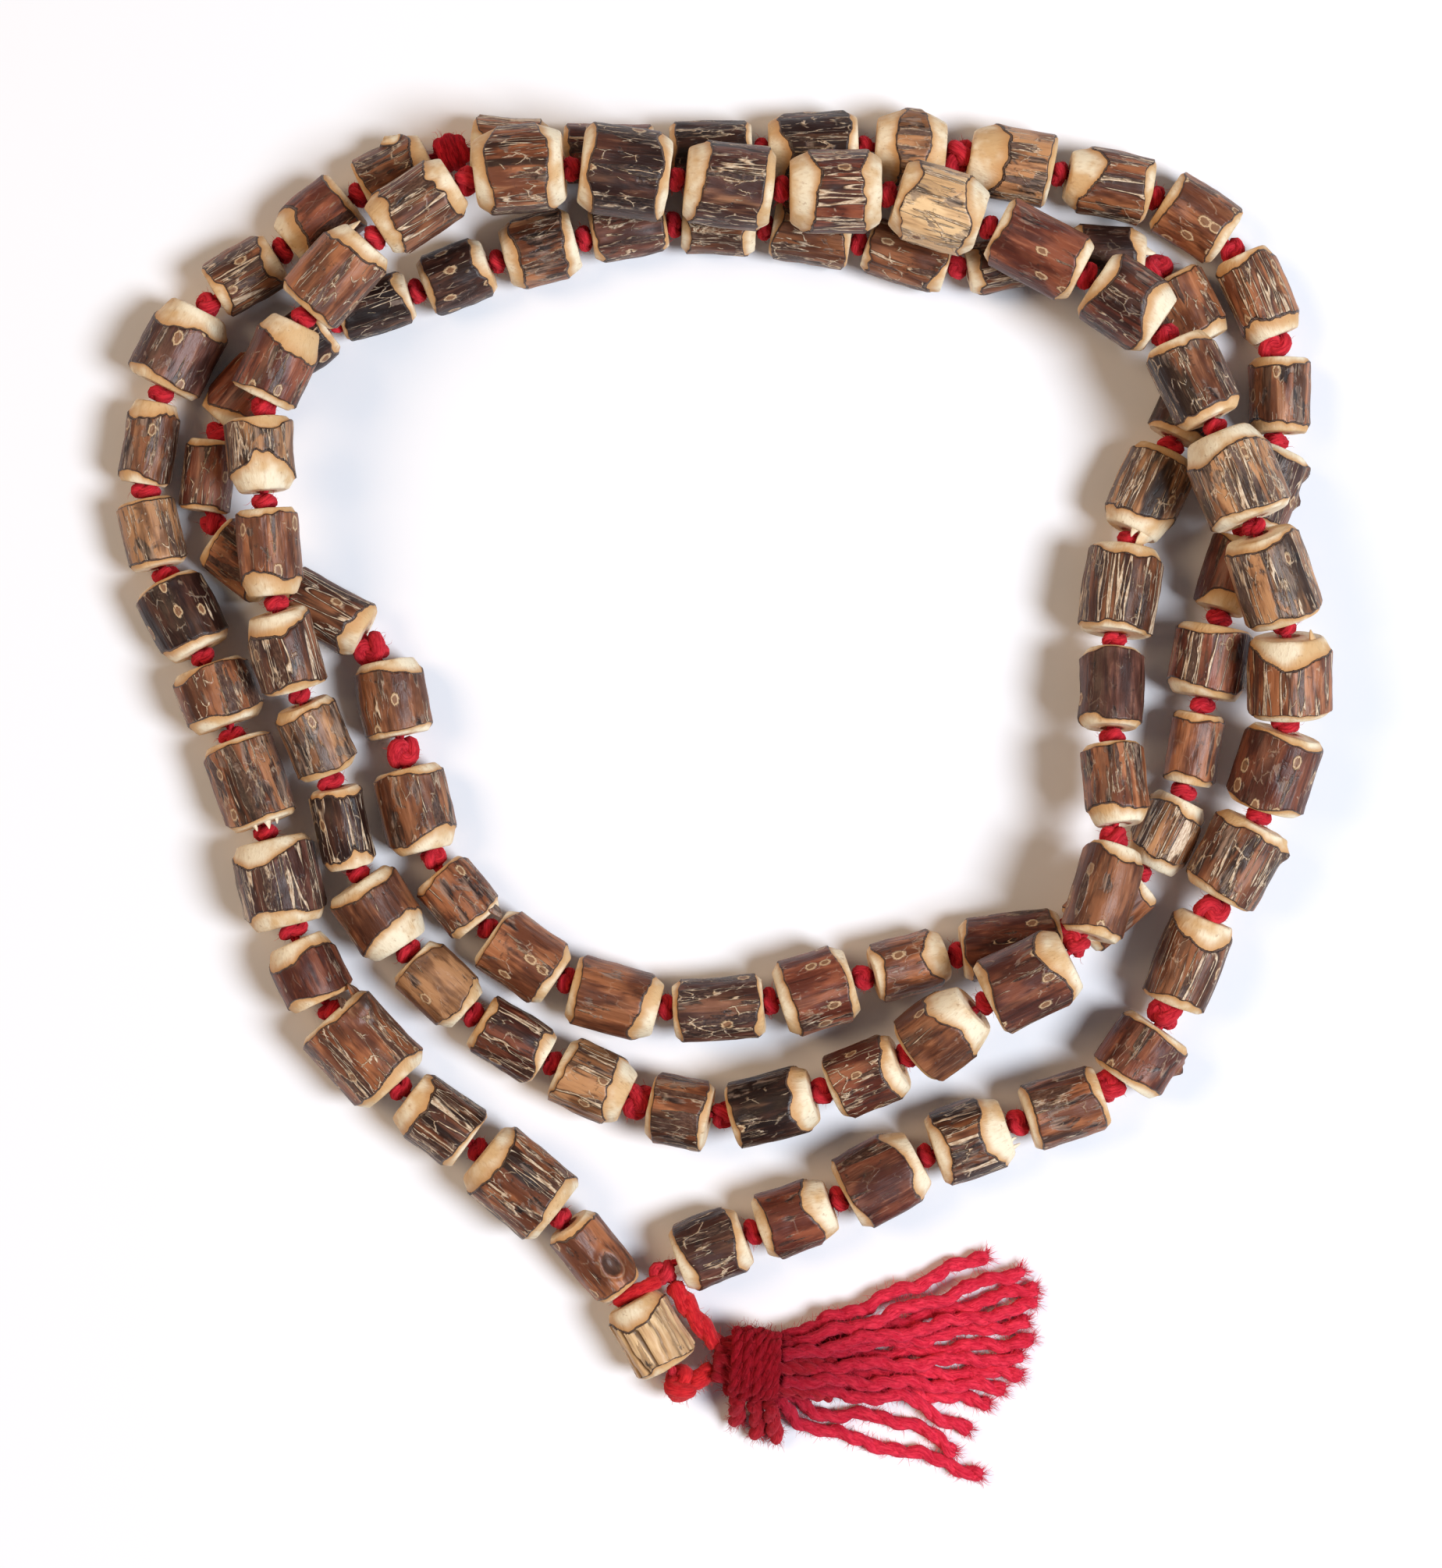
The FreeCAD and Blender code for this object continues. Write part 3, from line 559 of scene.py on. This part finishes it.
def twig_bead(name, centre, direction, dia, length, tone, character, cuts, seed,
              features=(), spare=BARK_SPARE):
    """One whittled length of twig: a lumpy barrel of bark, cut back at both ends, with a
    drilled hole."""
    rng = np.random.default_rng(SEED + seed)
    radius, half = dia / 2, length / 2
    ridges, dots, patches, cover, cracks, stripes = CHARACTERS[character]
    depth = [min(CUTS[c], 0.38 * length) for c in cuts]
    # stations along the axis, close together where the bark is cut back
    zone = [min(1.55 * d + 0.4, 0.46 * length) for d in depth]
    body = np.concatenate([np.linspace(-half, zone[0] - half, END_ROWS)[:-1],
                           np.linspace(zone[0] - half, half - zone[1], MIDDLE_ROWS)[:-1],
                           np.linspace(half - zone[1], half, END_ROWS)])
    theta = np.arange(AROUND) / AROUND * TURN
    U, T = np.meshgrid(body, theta, indexing="ij")
    un, vn = (U + half) / length, T / TURN

    bark = radius * (0.985 + lobes(rng, T, 0.0, 0.035, 0.02))
    bark += 0.15 * smooth_noise(rng, un, vn, 2, 5) + 0.06 * smooth_noise(rng, un, vn, 5, 14)
    sway = 0.014 * smooth_noise(rng, un, vn, 3, 6)
    bark += (0.05 + 0.08 * ridges) * smooth_noise(rng, un, vn + sway, 2, 26)
    bark += 0.03 * smooth_noise(rng, un, vn, 9, 42)
    furrow = np.zeros_like(bark)
    if character == "f":
        bend = 2.2 * smooth_noise(rng, un, vn, 2, 7)
        furrow = rise((np.cos(14 * T + bend) - 0.35) / 0.5)
        furrow *= 0.65 + 0.5 * smooth_noise(rng, un, vn, 2, 11)
    bark = np.minimum(bark, radius + spare)

    up, uneven = feature_angle(direction, 0), 0.3 if character == "f" else 1.0
    left = np.min([cut_back(rng, T, half - side * U, radius, reach, up, uneven)
                   for side, reach in zip((-1, 1), depth)], 0)
    ledge = rng.uniform(0.08, 0.25)              # the bark's own thickness, peeled off
    surface = np.where(left < bark, left - ledge * rise((bark - left) / 0.1),
                       bark - 0.6 * furrow)
    bark = np.where(left < bark, bark, surface)
    surface = surface + 0.03 * smooth_noise(rng, un, vn, 7, 20)
    peel = np.clip(bark - surface, 0, 2.0)

    scar = np.full_like(U, NO_SCAR)
    extra_verts, extra_faces, extra_peel = [], [], []
    for kind, degrees, place, size in features:
        angle = feature_angle(direction, degrees)
        turned = (T - angle + math.pi) % TURN - math.pi
        apart = np.hypot(turned * radius, (U - place * half) / 1.3) / size
        apart *= 1 + 0.3 * smooth_noise(rng, un, vn, 6, 18)
        if kind == "scar":
            surface = surface + 0.35 * np.exp(-((apart - 1.0) / 0.3) ** 2)
            surface = surface - 0.45 * np.exp(-(apart / 0.6) ** 2)
            scar = np.minimum(scar, apart)
        elif kind in ("stump", "knob"):
            rough = 1 + 0.5 * smooth_noise(rng, un, vn, 14, 40)
            surface = surface + 0.6 * size * rise(1.25 - apart) * rough
            if kind == "knob":
                peel = np.maximum(peel, WOOD_PEEL * rise(1.6 - 1.6 * apart))
            else:
                scar = np.minimum(scar, 0.5 + 0.6 * apart)
        else:
            torn = kind == "flap"
            verts, faces = blade(angle, place, half, radius, size, torn)
            extra_verts.append(verts)
            extra_faces.append(faces + 24 * len(extra_faces))
            extra_peel += [0.0 if torn else WOOD_PEEL] * len(verts)

    # the sawn faces lean a little and are pitted; then the wall of the hole
    rows = [(surface[0] - BORE / 2) * f + BORE / 2 for f in FACE_STEPS]
    back = [(surface[-1] - BORE / 2) * f + BORE / 2 for f in FACE_STEPS[::-1]]
    hole = np.full((2, AROUND), BORE / 2)
    radial = np.concatenate([rows, surface, back, hole])
    ends, count = len(FACE_STEPS), len(body)
    station = np.concatenate([[-half] * ends, body, [half] * ends, [half / 2, -half / 2]])
    level = np.repeat(station[:, None], AROUND, 1)
    for side, first in ((-1, 0), (1, ends + count - 1)):
        lean = rng.uniform(0.0, 0.15) * (0.5 + 0.5 * np.cos(theta - rng.uniform(0, TURN)))
        face = slice(first, first + ends + 1)
        level[face] -= side * lean * radial[face] / radius
        pits = smooth_noise(rng, radial[face] / radius * 0.9, T[:ends + 1] / TURN, 3, 14)
        level[face] -= side * 0.06 * (1 + pits) * (radial[face] > BORE / 2 + 0.01)

    def whole(values, at_ends):
        wall = np.full((ends, AROUND), at_ends)
        return np.concatenate([wall, values, wall, wall[:2]]).ravel()

    around = np.tile(theta, (len(station), 1))
    local = np.stack([radial * np.cos(around), radial * np.sin(around), level],
                     -1).reshape(-1, 3)
    faces = [grid_faces(len(station), AROUND, wrap_rows=True)]
    shell = len(local)
    if extra_verts:
        local = np.concatenate([local, *extra_verts])
        faces += [f + shell for f in extra_faces]
    blades = len(local) - shell
    e1, e2 = along(direction)
    world = centre + local @ np.array([e1, e2, direction])
    obj = mesh_object(name, world, np.concatenate(faces), twig)
    attribute(obj, "bark_place", "FLOAT_VECTOR", local + rng.uniform(-400, 400, 3))
    shade = rng.uniform(0.85, 1.12)
    for key, value in zip(("bark_tone", "bark_second", "bark_skin"), TONES[tone]):
        colour = np.append(np.array(srgb(*value))[:3] * shade, 1.0)
        attribute(obj, key, "FLOAT_COLOR", np.tile(colour, (len(local), 1)))
    attribute(obj, "bark_marks", "FLOAT_COLOR",
              np.tile([ridges, dots, patches, 1.0], (len(local), 1)))
    more = np.tile([cover, cracks, 0.0, 1.0], (len(local), 1))
    more[:shell, 2] = whole(furrow, 0.0)
    attribute(obj, "bark_more", "FLOAT_COLOR", more)
    attribute(obj, "stripes", "FLOAT", np.full(len(local), stripes))
    turned = (np.arctan2(local[:, 1], local[:, 0]) - up + math.pi) % TURN - math.pi
    flat = np.stack([turned * radius, local[:, 2], 0 * turned], -1)
    attribute(obj, "unrolled", "FLOAT_VECTOR", flat + rng.uniform(0, 300, 3))
    attribute(obj, "scar", "FLOAT",
              np.append(whole(scar, NO_SCAR), np.full(blades, NO_SCAR)))
    attribute(obj, "peel", "FLOAT", np.append(whole(peel, WALL_PEEL), extra_peel))
    return obj


def group_of(number):
    if number in FREE:
        return "bead_%02d" % number
    if number in UPPER:
        return "upper_layer_beads"
    return "lower_outer_beads" if number < 33 else "lower_inner_beads"


for index, code in enumerate(BEADS):
    number = index + 1
    a, b = route[index], route[index + 1]
    direction = unit(b - a)
    start, end = a + direction * gap_at(index), b - direction * gap_at(index + 1)
    node = group_of(number)
    bead = twig_bead("twig_bead_%02d" % number, (start + end) / 2, direction,
                     DIAMETERS[code[0]], np.linalg.norm(end - start), code[1], code[2],
                     code[3:], number, FEATURES.get(number, ()),
                     -BARK_SPARE if number in CLOSE else BARK_SPARE)
    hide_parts(node)
    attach(bead, node if number in FREE else "string")

GURU_TOP, GURU_FOOT = np.array([-11.5, -65.5, 4.5]), np.array([-6.5, -74.0, 4.5])
guru = twig_bead("twig_guru_bead", (GURU_TOP + GURU_FOOT) / 2 + ORIGIN,
                 unit(GURU_FOOT - GURU_TOP), GURU_DIA, GURU_LONG, "t", "f", "31",
                 GURU_SEED)
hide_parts("guru_bead")
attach(guru, "guru_bead")


# ------------------------------------------------------------------ yarn
def spline_points(name, points, resolution=6):
    """Points along the smooth NURBS line that has these control points, in mm."""
    data = bpy.data.curves.new(name + "_line", "CURVE")
    data.dimensions = "3D"
    spline = data.splines.new("NURBS")
    spline.points.add(len(points) - 1)
    for point, place in zip(spline.points, points):
        point.co = (*(np.asarray(place) * MM), 1.0)
    spline.order_u = 3
    spline.use_endpoint_u = True
    spline.resolution_u = resolution
    holder = bpy.data.objects.new(name + "_line", data)
    bpy.context.scene.collection.objects.link(holder)
    bpy.context.view_layer.update()
    mesh = bpy.data.meshes.new_from_object(holder)
    path = np.empty(len(mesh.vertices) * 3)
    mesh.vertices.foreach_get("co", path)
    bpy.data.objects.remove(holder)
    bpy.data.curves.remove(data)
    bpy.data.meshes.remove(mesh)
    return path.reshape(-1, 3) / MM


def resample(path, step):
    seg = np.linalg.norm(np.diff(path, axis=0), axis=1)
    s = np.concatenate([[0], np.cumsum(seg)])
    count = max(int(round(s[-1] / step)), 6)
    t = np.linspace(0, s[-1], count + 1)
    return np.stack([np.interp(t, s, path[:, k]) for k in range(3)], -1), t


def carried_frames(path):
    """Tangents and a side direction carried along without twisting."""
    tangent = np.gradient(path, axis=0)
    tangent /= np.linalg.norm(tangent, axis=1)[:, None]
    side = np.empty_like(path)
    side[0] = along(tangent[0])[0]
    for i in range(1, len(path)):
        v = side[i - 1] - tangent[i] * (side[i - 1] @ tangent[i])
        side[i] = v / np.linalg.norm(v)
    return tangent, side, np.cross(tangent, side)


def wandering(path, s, rng, amount):
    """A path that strays to its sides, more across the surface than up and down."""
    tangent = np.gradient(path, axis=0)
    across = np.cross(tangent, UP)
    across /= np.linalg.norm(across, axis=1)[:, None]
    for way, size in ((across, amount), (np.tile(UP, (len(s), 1)), 0.4 * amount)):
        wave = (np.sin(s / rng.uniform(1.2, 1.8) + rng.uniform(0, TURN))
                + 0.4 * np.sin(s / rng.uniform(0.5, 0.7) + rng.uniform(0, TURN)))
        path = path + way * (size * rise(s / 6) * wave)[:, None]
    return path


def twisted(path, s, dia, rng, plies=2, ply=0.32, orbit=0.19, pitch=4.4, around=9,
            loose_end=0.0):
    """Verts, quads and attribute of plies wound round a path. ply and orbit are the
    plies' radius and distance from the path, in yarn diameters; loose_end is how far
    the plies of the last stretch part."""
    tangent, n1, n2 = carried_frames(path)
    verts, faces, place = [], [], []
    base, total = 0, s[-1]
    phase = rng.uniform(0, TURN)
    angle = np.arange(around) / around * TURN
    j = np.arange(around)
    following = (j + 1) % around
    for k in range(plies):
        turn = phase + (k / plies + s / pitch) * TURN
        spread = dia * orbit * (1 + loose_end * np.clip((s - total + 5) / 5, 0, 1) ** 2)
        middle = (path + (np.cos(turn) * spread)[:, None] * n1
                  + (np.sin(turn) * spread)[:, None] * n2)
        wave = 1 + 0.04 * rng.normal(size=len(s)) + 0.06 * np.sin(s * 2.1 + k)
        thin = np.minimum(1, 0.35 + np.minimum(s, total - s) / 0.6)
        radius = dia * ply * wave * thin
        _, a1, a2 = carried_frames(middle)
        ring = (middle[:, None, :] + radius[:, None, None]
                * (np.cos(angle)[None, :, None] * a1[:, None, :]
                   + np.sin(angle)[None, :, None] * a2[:, None, :]))
        ring += rng.normal(scale=dia * 0.014, size=ring.shape)
        ring = ring.reshape(-1, 3)
        n = len(ring)
        start, end = np.full(around, base + n), np.full(around, base + n + 1)
        last = base + n - around
        verts.append(np.concatenate([ring, middle[:1], middle[-1:]]))
        faces.append(np.concatenate([
            grid_faces(len(s), around) + base,
            np.stack([base + following, base + j, start, start], -1),
            np.stack([last + j, last + following, end, end], -1)]))
        size = dia * ply
        p = np.stack([np.repeat(s, around), np.tile(np.cos(angle) * size, len(s)),
                      np.tile(np.sin(angle) * size, len(s))], -1)
        place.append(np.concatenate([p, [[0, 0, 0], [total, 0, 0]]])
                     + rng.uniform(-300, 300, 3))
        base += n + 2
    return np.concatenate(verts), np.concatenate(faces), np.concatenate(place)


def fibres(path, s, dia, rng, count, reach=0.9, tuft=0):
    """Fine stray hairs that stand off the yarn, with a tuft of them at its loose end."""
    total = int(count) + tuft
    tangent, n1, n2 = carried_frames(path)
    i = rng.integers(0, len(path), total)
    if tuft:
        i[-tuft:] = len(path) - 1 - rng.integers(0, max(int(2.2 / s[1]), 1), tuft)
    forward = rng.uniform(-1.6, 1.6, (total, 1))
    if tuft:
        forward[-tuft:] = rng.uniform(0.6, 2.4, (tuft, 1))
    a = rng.uniform(0, TURN, (total, 1))
    out = np.cos(a) * n1[i] + np.sin(a) * n2[i]
    heading = out + tangent[i] * forward + rng.normal(scale=0.35, size=(total, 3))
    heading /= np.linalg.norm(heading, axis=1)[:, None]
    side = np.cross(heading, tangent[i] + [0.011, 0.017, 0.013])
    side /= np.linalg.norm(side, axis=1)[:, None]
    up = np.cross(heading, side)
    length = reach * rng.uniform(0.4, 1.3, (total, 1))
    curl = side * length * rng.uniform(-0.7, 0.7, (total, 1))
    root = path[i] + out * dia * rng.uniform(0.2, 0.42, (total, 1))
    rings = []
    for part, bend, wide in ((0, 0, 0.03), (0.35, 0.45, 0.028), (0.7, 0.6, 0.02),
                             (1, 0.3, 0.007)):
        middle = root + heading * length * part + curl * bend
        rings += [middle + wide * (math.cos(b * TURN / 3) * side
                                   + math.sin(b * TURN / 3) * up) for b in range(3)]
    one = [[3 * q + b, 3 * q + (b + 1) % 3, 3 * q + 3 + (b + 1) % 3, 3 * q + 3 + b]
           for q in range(3) for b in range(3)] + [[2, 1, 0, 0], [9, 10, 11, 11]]
    faces = (np.arange(total)[:, None, None] * 12 + np.array(one)).reshape(-1, 4)
    place = np.repeat(rng.uniform(-300, 300, (total, 3)), 12, 0)
    return np.stack(rings, 1).reshape(-1, 3), faces, place


def spot(*p):
    return np.array(p, float) + ORIGIN


def yarn_object(name, parts, body, replaced, material):
    """One object from the parts of a piece of yarn, kept above the surface."""
    verts, faces, base = [], [], 0
    for v, f, _ in parts:
        verts.append(v)
        faces.append(f + base)
        base += len(v)
    verts = np.concatenate(verts)
    verts[:, 2] = np.maximum(verts[:, 2], FLOOR_CLEAR)
    obj = mesh_object(name, verts, np.concatenate(faces), material)
    attribute(obj, "yarn_place", "FLOAT_VECTOR", np.concatenate([p for *_, p in parts]))
    # inside is painted shade on the tassel: 1 at the binding, where the strands crowd,
    # falling to 0 further out
    inside = 0.0
    if body == "tassel":
        reach = np.linalg.norm((verts - spot(5.0, -74.5, 3.0)) * [1, 1.6, 0.5], axis=1)
        inside = 1 - rise((reach - 2) / 22)
    attribute(obj, "inside", "FLOAT", np.full(len(verts), inside))
    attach(obj, body)
    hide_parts(replaced)
    return obj


def knot_parts(centre, axis, size, yarn_dia, length, rng, hairs=40):
    """An overhand knot pulled tight: a trefoil of soft yarn squeezed along the thread."""
    e1, e2 = along(axis)
    t = np.linspace(0, TURN, 57)
    spin = rng.uniform(0, TURN)
    x = (np.sin(t) + 2 * np.sin(2 * t)) * size * rng.uniform(0.95, 1.15)
    y = (np.cos(t) - 2 * np.cos(2 * t)) * size * rng.uniform(0.85, 1.0)
    x, y = x * math.cos(spin) - y * math.sin(spin), x * math.sin(spin) + y * math.cos(spin)
    z = -np.sin(3 * t) * max((length - yarn_dia) / 2, 0.25)
    path = centre + x[:, None] * e1 + y[:, None] * e2 + z[:, None] * axis
    path, s = resample(path, 0.3)
    return [twisted(path, s, yarn_dia, rng, plies=1, ply=0.5, orbit=0, around=10),
            fibres(path, s, yarn_dia, rng, hairs, 1.1)]


rng = np.random.default_rng(SEED)
line = spline_points("thread", route)
path, s = resample(line, 0.45)
thread = yarn_object("yarn_thread", [twisted(path, s, THREAD, rng, ply=0.29, orbit=0.21,
                                             around=7)],
                     "string", "stringing_thread", yarn)


def coil(centre, axis, t, shift, wound, turns):
    """Points of a coil: how far along the axis and how far from it, for t from 0 to 1."""
    e1, e2 = along(axis)
    return (centre + shift[:, None] * axis
            + (wound * np.cos(turns * t * TURN))[:, None] * e1
            + (wound * np.sin(turns * t * TURN))[:, None] * e2)


def bisector(i):
    return unit(unit(route[i] - route[i - 1]) + unit(route[i + 1] - route[i]))


def knot_centre(i):
    return (route[i - 1] + 6 * route[i] + route[i + 1]) / 8


single, double = [], []
for i in range(1, LAST):
    room = 2 * gap_at(i)
    if i in DOUBLED:
        double += knot_parts(knot_centre(i), bisector(i), 0.5, 1.9, min(room + 0.4, 4.0),
                             rng, 110)
    elif i != JOIN:
        single += knot_parts(knot_centre(i), bisector(i), rng.uniform(0.34, 0.42),
                             rng.uniform(1.35, 1.6), min(room, 2.8), rng, 70)
spacers = yarn_object("yarn_spacer_knots", single, "string", "spacer_knots", yarn)
doubles = yarn_object("yarn_doubled_knots", double, "string", "doubled_knots", yarn)

# the joining knot: snug coils that fatten towards the middle
t = np.linspace(0, 1, 90)
wound = 0.95 + 0.6 * np.sin(math.pi * t)
path, s = resample(coil(knot_centre(JOIN), bisector(JOIN), t, (t - 0.5) * 3.3, wound, 3),
                   0.3)
join_knot = yarn_object("yarn_join_knot", [
    twisted(path, s, 1.9, rng, plies=1, ply=0.5, orbit=0, around=11),
    fibres(path, s, 1.9, rng, 260, 1.3)], "string", "join_knot", yarn_deep)


def yarn_along(name, points, dia, body, replaced, material, hairs=4.0, slot="yarn",
               wander=0.0, tuft=0, reach=0.9, **more):
    """A length of yarn along a smooth line. hairs is the number for each millimetre."""
    rng = np.random.default_rng(SEED + sum(map(ord, name)))
    line = spline_points(name, [spot(*p) for p in points], 12)
    path, s = resample(line, 0.35)
    if wander:
        path = wandering(path, s, rng, wander)
    parts = [twisted(path, s, dia, rng, **more)]
    if hairs:
        parts.append(fibres(path, s, dia, rng, hairs * s[-1], reach, tuft))
    return yarn_object(name, parts, body, replaced, material), line, float(s[-1])


yarn_along("yarn_guru_thread", [(-11.96, -64.72, 4.5), (-8.95, -69.73, 4.54),
                                (-5.89, -75.03, 4.5)], THREAD, "string", "guru_thread",
           yarn, hairs=0)
shoulder = yarn_object("yarn_shoulder_knot", knot_parts(
    spot(-7.3, -62.1, 4.6), unit(np.array([0.3, -0.8, 0.4])), 0.36, 1.7, 3.0, rng, 70),
    "string", "shoulder_knot", yarn)
# the foot knot, the band over the guru bead, the side yarn and the neck take the lighter
# copy of the wool, with painted light
yarn_object("yarn_foot_knot", knot_parts(
    spot(-5.1, -76.4, 4.2), unit(np.array([1.0, 0.3, 0.2])), 0.5, 2.1, 4.2, rng, 160),
    "string", "foot_knot", yarn_painted_light)
yarn_along("yarn_over_guru", [(-7.6, -62.9, 5.4), (-10.4, -63.95, 6.1),
                              (-13.6, -65.8, 5.0)], 1.9, "string", "shoulder_yarn",
           yarn_painted_light, plies=1, ply=0.48, orbit=0)
yarn_along("yarn_side", [(-6.2, -63.4, 4.6), (-4.1, -66.5, 4.6), (-2.3, -69.0, 4.7),
                         (-0.4, -71.4, 4.6)], 2.7, "string", "side_yarn", yarn_painted_light,
           pitch=7, ply=0.38, orbit=0.12, hairs=16, reach=1.1)
yarn_along("yarn_neck", [(-3.8, -76.2, 4.3), (-2.4, -75.3, 4.5), (-0.9, -74.2, 4.5)], 2.7,
           "string", "neck_yarn", yarn_painted_light, pitch=7, ply=0.38, orbit=0.12, hairs=30,
           reach=1.2)

(spline_points("thread", route) * MM).tolist()

# ------------------------------------------------------------------ tassel
STRANDS = [
    [(7.6, -70.6, 3.2), (19.0, -66.6, 2.2), (34.0, -60.0, 1.0)],
    [(7.6, -71.5, 4.8), (20.0, -68.4, 3.4), (38.6, -62.0, 1.2)],
    [(7.6, -72.1, 2.0), (20.0, -69.8, 1.0), (40.4, -64.3, 0.9)],
    [(7.6, -72.3, 6.8), (20.5, -70.4, 3.4), (40.4, -66.6, 1.0)],
    [(7.6, -72.9, 3.9), (20.5, -71.6, 1.6), (39.4, -68.8, 0.9)],
    [(7.6, -73.7, 2.0), (20.5, -73.2, 0.9), (40.0, -71.2, 0.9)],
    [(7.6, -74.2, 5.7), (20.5, -74.0, 2.7), (38.6, -73.3, 0.9)],
    [(7.6, -74.7, 3.8), (20.5, -75.1, 1.0), (38.5, -75.5, 0.9)],
    [(7.6, -75.5, 7.2), (19.5, -76.0, 2.9), (36.4, -77.3, 0.9)],
    [(7.6, -75.5, 1.9), (19.5, -76.9, 0.9), (34.4, -79.2, 0.9)],
    [(7.6, -76.2, 5.4), (15.0, -78.2, 2.8), (23.0, -77.8, 2.8), (27.0, -80.2, 1.4),
     (31.8, -83.0, 0.9)],
    [(7.6, -76.7, 3.5), (10.8, -79.6, 1.4), (15.0, -81.3, 0.9), (19.5, -80.4, 0.9),
     (25.0, -82.2, 0.9), (30.2, -85.2, 0.9)],
    [(7.2, -77.9, 4.6), (9.0, -81.0, 1.6), (13.5, -83.0, 0.9), (20.5, -84.6, 0.9),
     (27.0, -86.3, 0.9), (33.4, -88.4, 0.9)],
]
for k, points in enumerate(STRANDS):
    strand, line, length = yarn_along(
        "yarn_strand_%02d" % (k + 1), points, 0.86 * YARN, "tassel", "tassel_strands",
        yarn_loose, loose_end=0.7, ply=0.5, orbit=0.16, pitch=5.2, hairs=20,
        wander=0.34, tuft=130, reach=1.3)
TAILS = [
    [(2.0, -77.9, 6.2), (2.2, -79.9, 3.4), (2.0, -81.6, 1.2)],
    [(4.2, -78.4, 5.6), (4.9, -81.0, 2.8), (4.6, -83.4, 0.9)],
    [(6.2, -78.5, 6.3), (6.7, -81.4, 3.2), (7.0, -83.8, 0.9)],
]
for k, points in enumerate(TAILS):
    yarn_along("yarn_tail_%d" % (k + 1), points, 2.0, "tassel", "binding_tails", yarn,
               slot="yarn_dark", loose_end=0.5, ply=0.4, orbit=0.15, pitch=6, hairs=22,
               tuft=90, reach=1.2)

HEAD = spot(0.6, -73.3, 4.5)                 # where the binding starts
HEAD_WAY = unit(np.array([1, -0.12, 0]))
PIVOT = spot(1.4, -73.4, 4.5)
GATHERED = 20                                # lengths of yarn inside the binding
SPIRAL = 2.4                                 # the angle that spreads them evenly
# binding: turns of yarn laid side by side round the gathered strands
t = np.linspace(0, 1, 480)
wound = 3.7 + 0.14 * np.sin(t * 23) + 0.35 * np.sin(math.pi * t)
path, s = resample(coil(HEAD, HEAD_WAY, t, 0.7 + t * 5.7, wound, 8), 0.4)
yarn_object("yarn_binding", [twisted(path, s, 1.4, rng, ply=0.34, orbit=0.2),
                             fibres(path, s, 1.4, rng, 1300, 1.5)],
            "tassel", "tassel_binding", yarn_deep)
# gathered yarn inside, which comes out of both ends of the binding; the short ends of
# the front lie under the loose strands
core = []
e1, e2 = along(HEAD_WAY)
for k in range(GATHERED):
    r0, a = 3.2 * math.sqrt((k + 0.5) / GATHERED), k * SPIRAL
    offset = r0 * (math.cos(a) * e1 + math.sin(a) * e2)
    out = HEAD + HEAD_WAY * 14.0 + offset * [1, 1.25, 0.35]
    out[2] = max(1.2, 0.35 * HEAD[2] + 0.35 * offset[2] + 0.6)
    line = np.array([PIVOT - HEAD_WAY * 2.3 + offset * 0.7,
                     HEAD + offset * 0.85 + HEAD_WAY * 0.6,
                     HEAD + offset + HEAD_WAY * 3.2,
                     HEAD + offset * 1.05 + HEAD_WAY * 7.5, out])
    path, s = resample(spline_points("core", line, 8), 0.4)
    core.append(twisted(path, s, 1.7, rng, ply=0.36, orbit=0.2, around=7))
    core.append(fibres(path, s, 1.7, rng, 60, 1.0))
yarn_object("yarn_tassel_core", core, "tassel", "tassel_core", yarn)

# ------------------------------------------------------------------ floor and light
floor_mesh = bpy.data.meshes.new("floor")
FLOOR_HALF = 3
floor_mesh.from_pydata([(x * FLOOR_HALF, y * FLOOR_HALF, 0) for x, y in
                        ((-1, -1), (1, -1), (1, 1), (-1, 1))], [], [(0, 1, 2, 3)])
floor = bpy.data.objects.new("floor", floor_mesh)
bpy.context.scene.collection.objects.link(floor)
paper = Shader("paper")
paper.bsdf.inputs["Base Color"].default_value = srgb(246, 246, 250)
paper.bsdf.inputs["Roughness"].default_value = 0.9
paper.bsdf.inputs["Specular IOR Level"].default_value = 0.1
floor_mesh.materials.append(paper.material)


def lamp(name, place, size, power, colour):
    data = bpy.data.lights.new(name, "AREA")
    data.shape, data.size, data.energy, data.color = "DISK", size, power, colour
    obj = bpy.data.objects.new(name, data)
    obj.location = place
    aim = Vector((0, 0, 0)) - Vector(place)
    obj.rotation_euler = aim.to_track_quat("-Z", "Y").to_euler()
    bpy.context.scene.collection.objects.link(obj)


# cool daylight from the lower right, a warm room light from the upper left
lamp("daylight", (0.82, -0.24, 1.16), 0.6, 23.2, (0.87, 0.93, 1.0))
lamp("room", (-0.85, 0.3, 1.05), 0.7, 7.4, (1.0, 0.72, 0.45))
world = bpy.data.worlds.new("world")
world.use_nodes = True
world.node_tree.nodes["Background"].inputs[0].default_value = (0.9, 0.94, 1.0, 1)
world.node_tree.nodes["Background"].inputs[1].default_value = 0.12
bpy.context.scene.world = world
bpy.context.scene.view_settings.view_transform = "Standard"
bpy.context.scene.view_settings.look = "None"
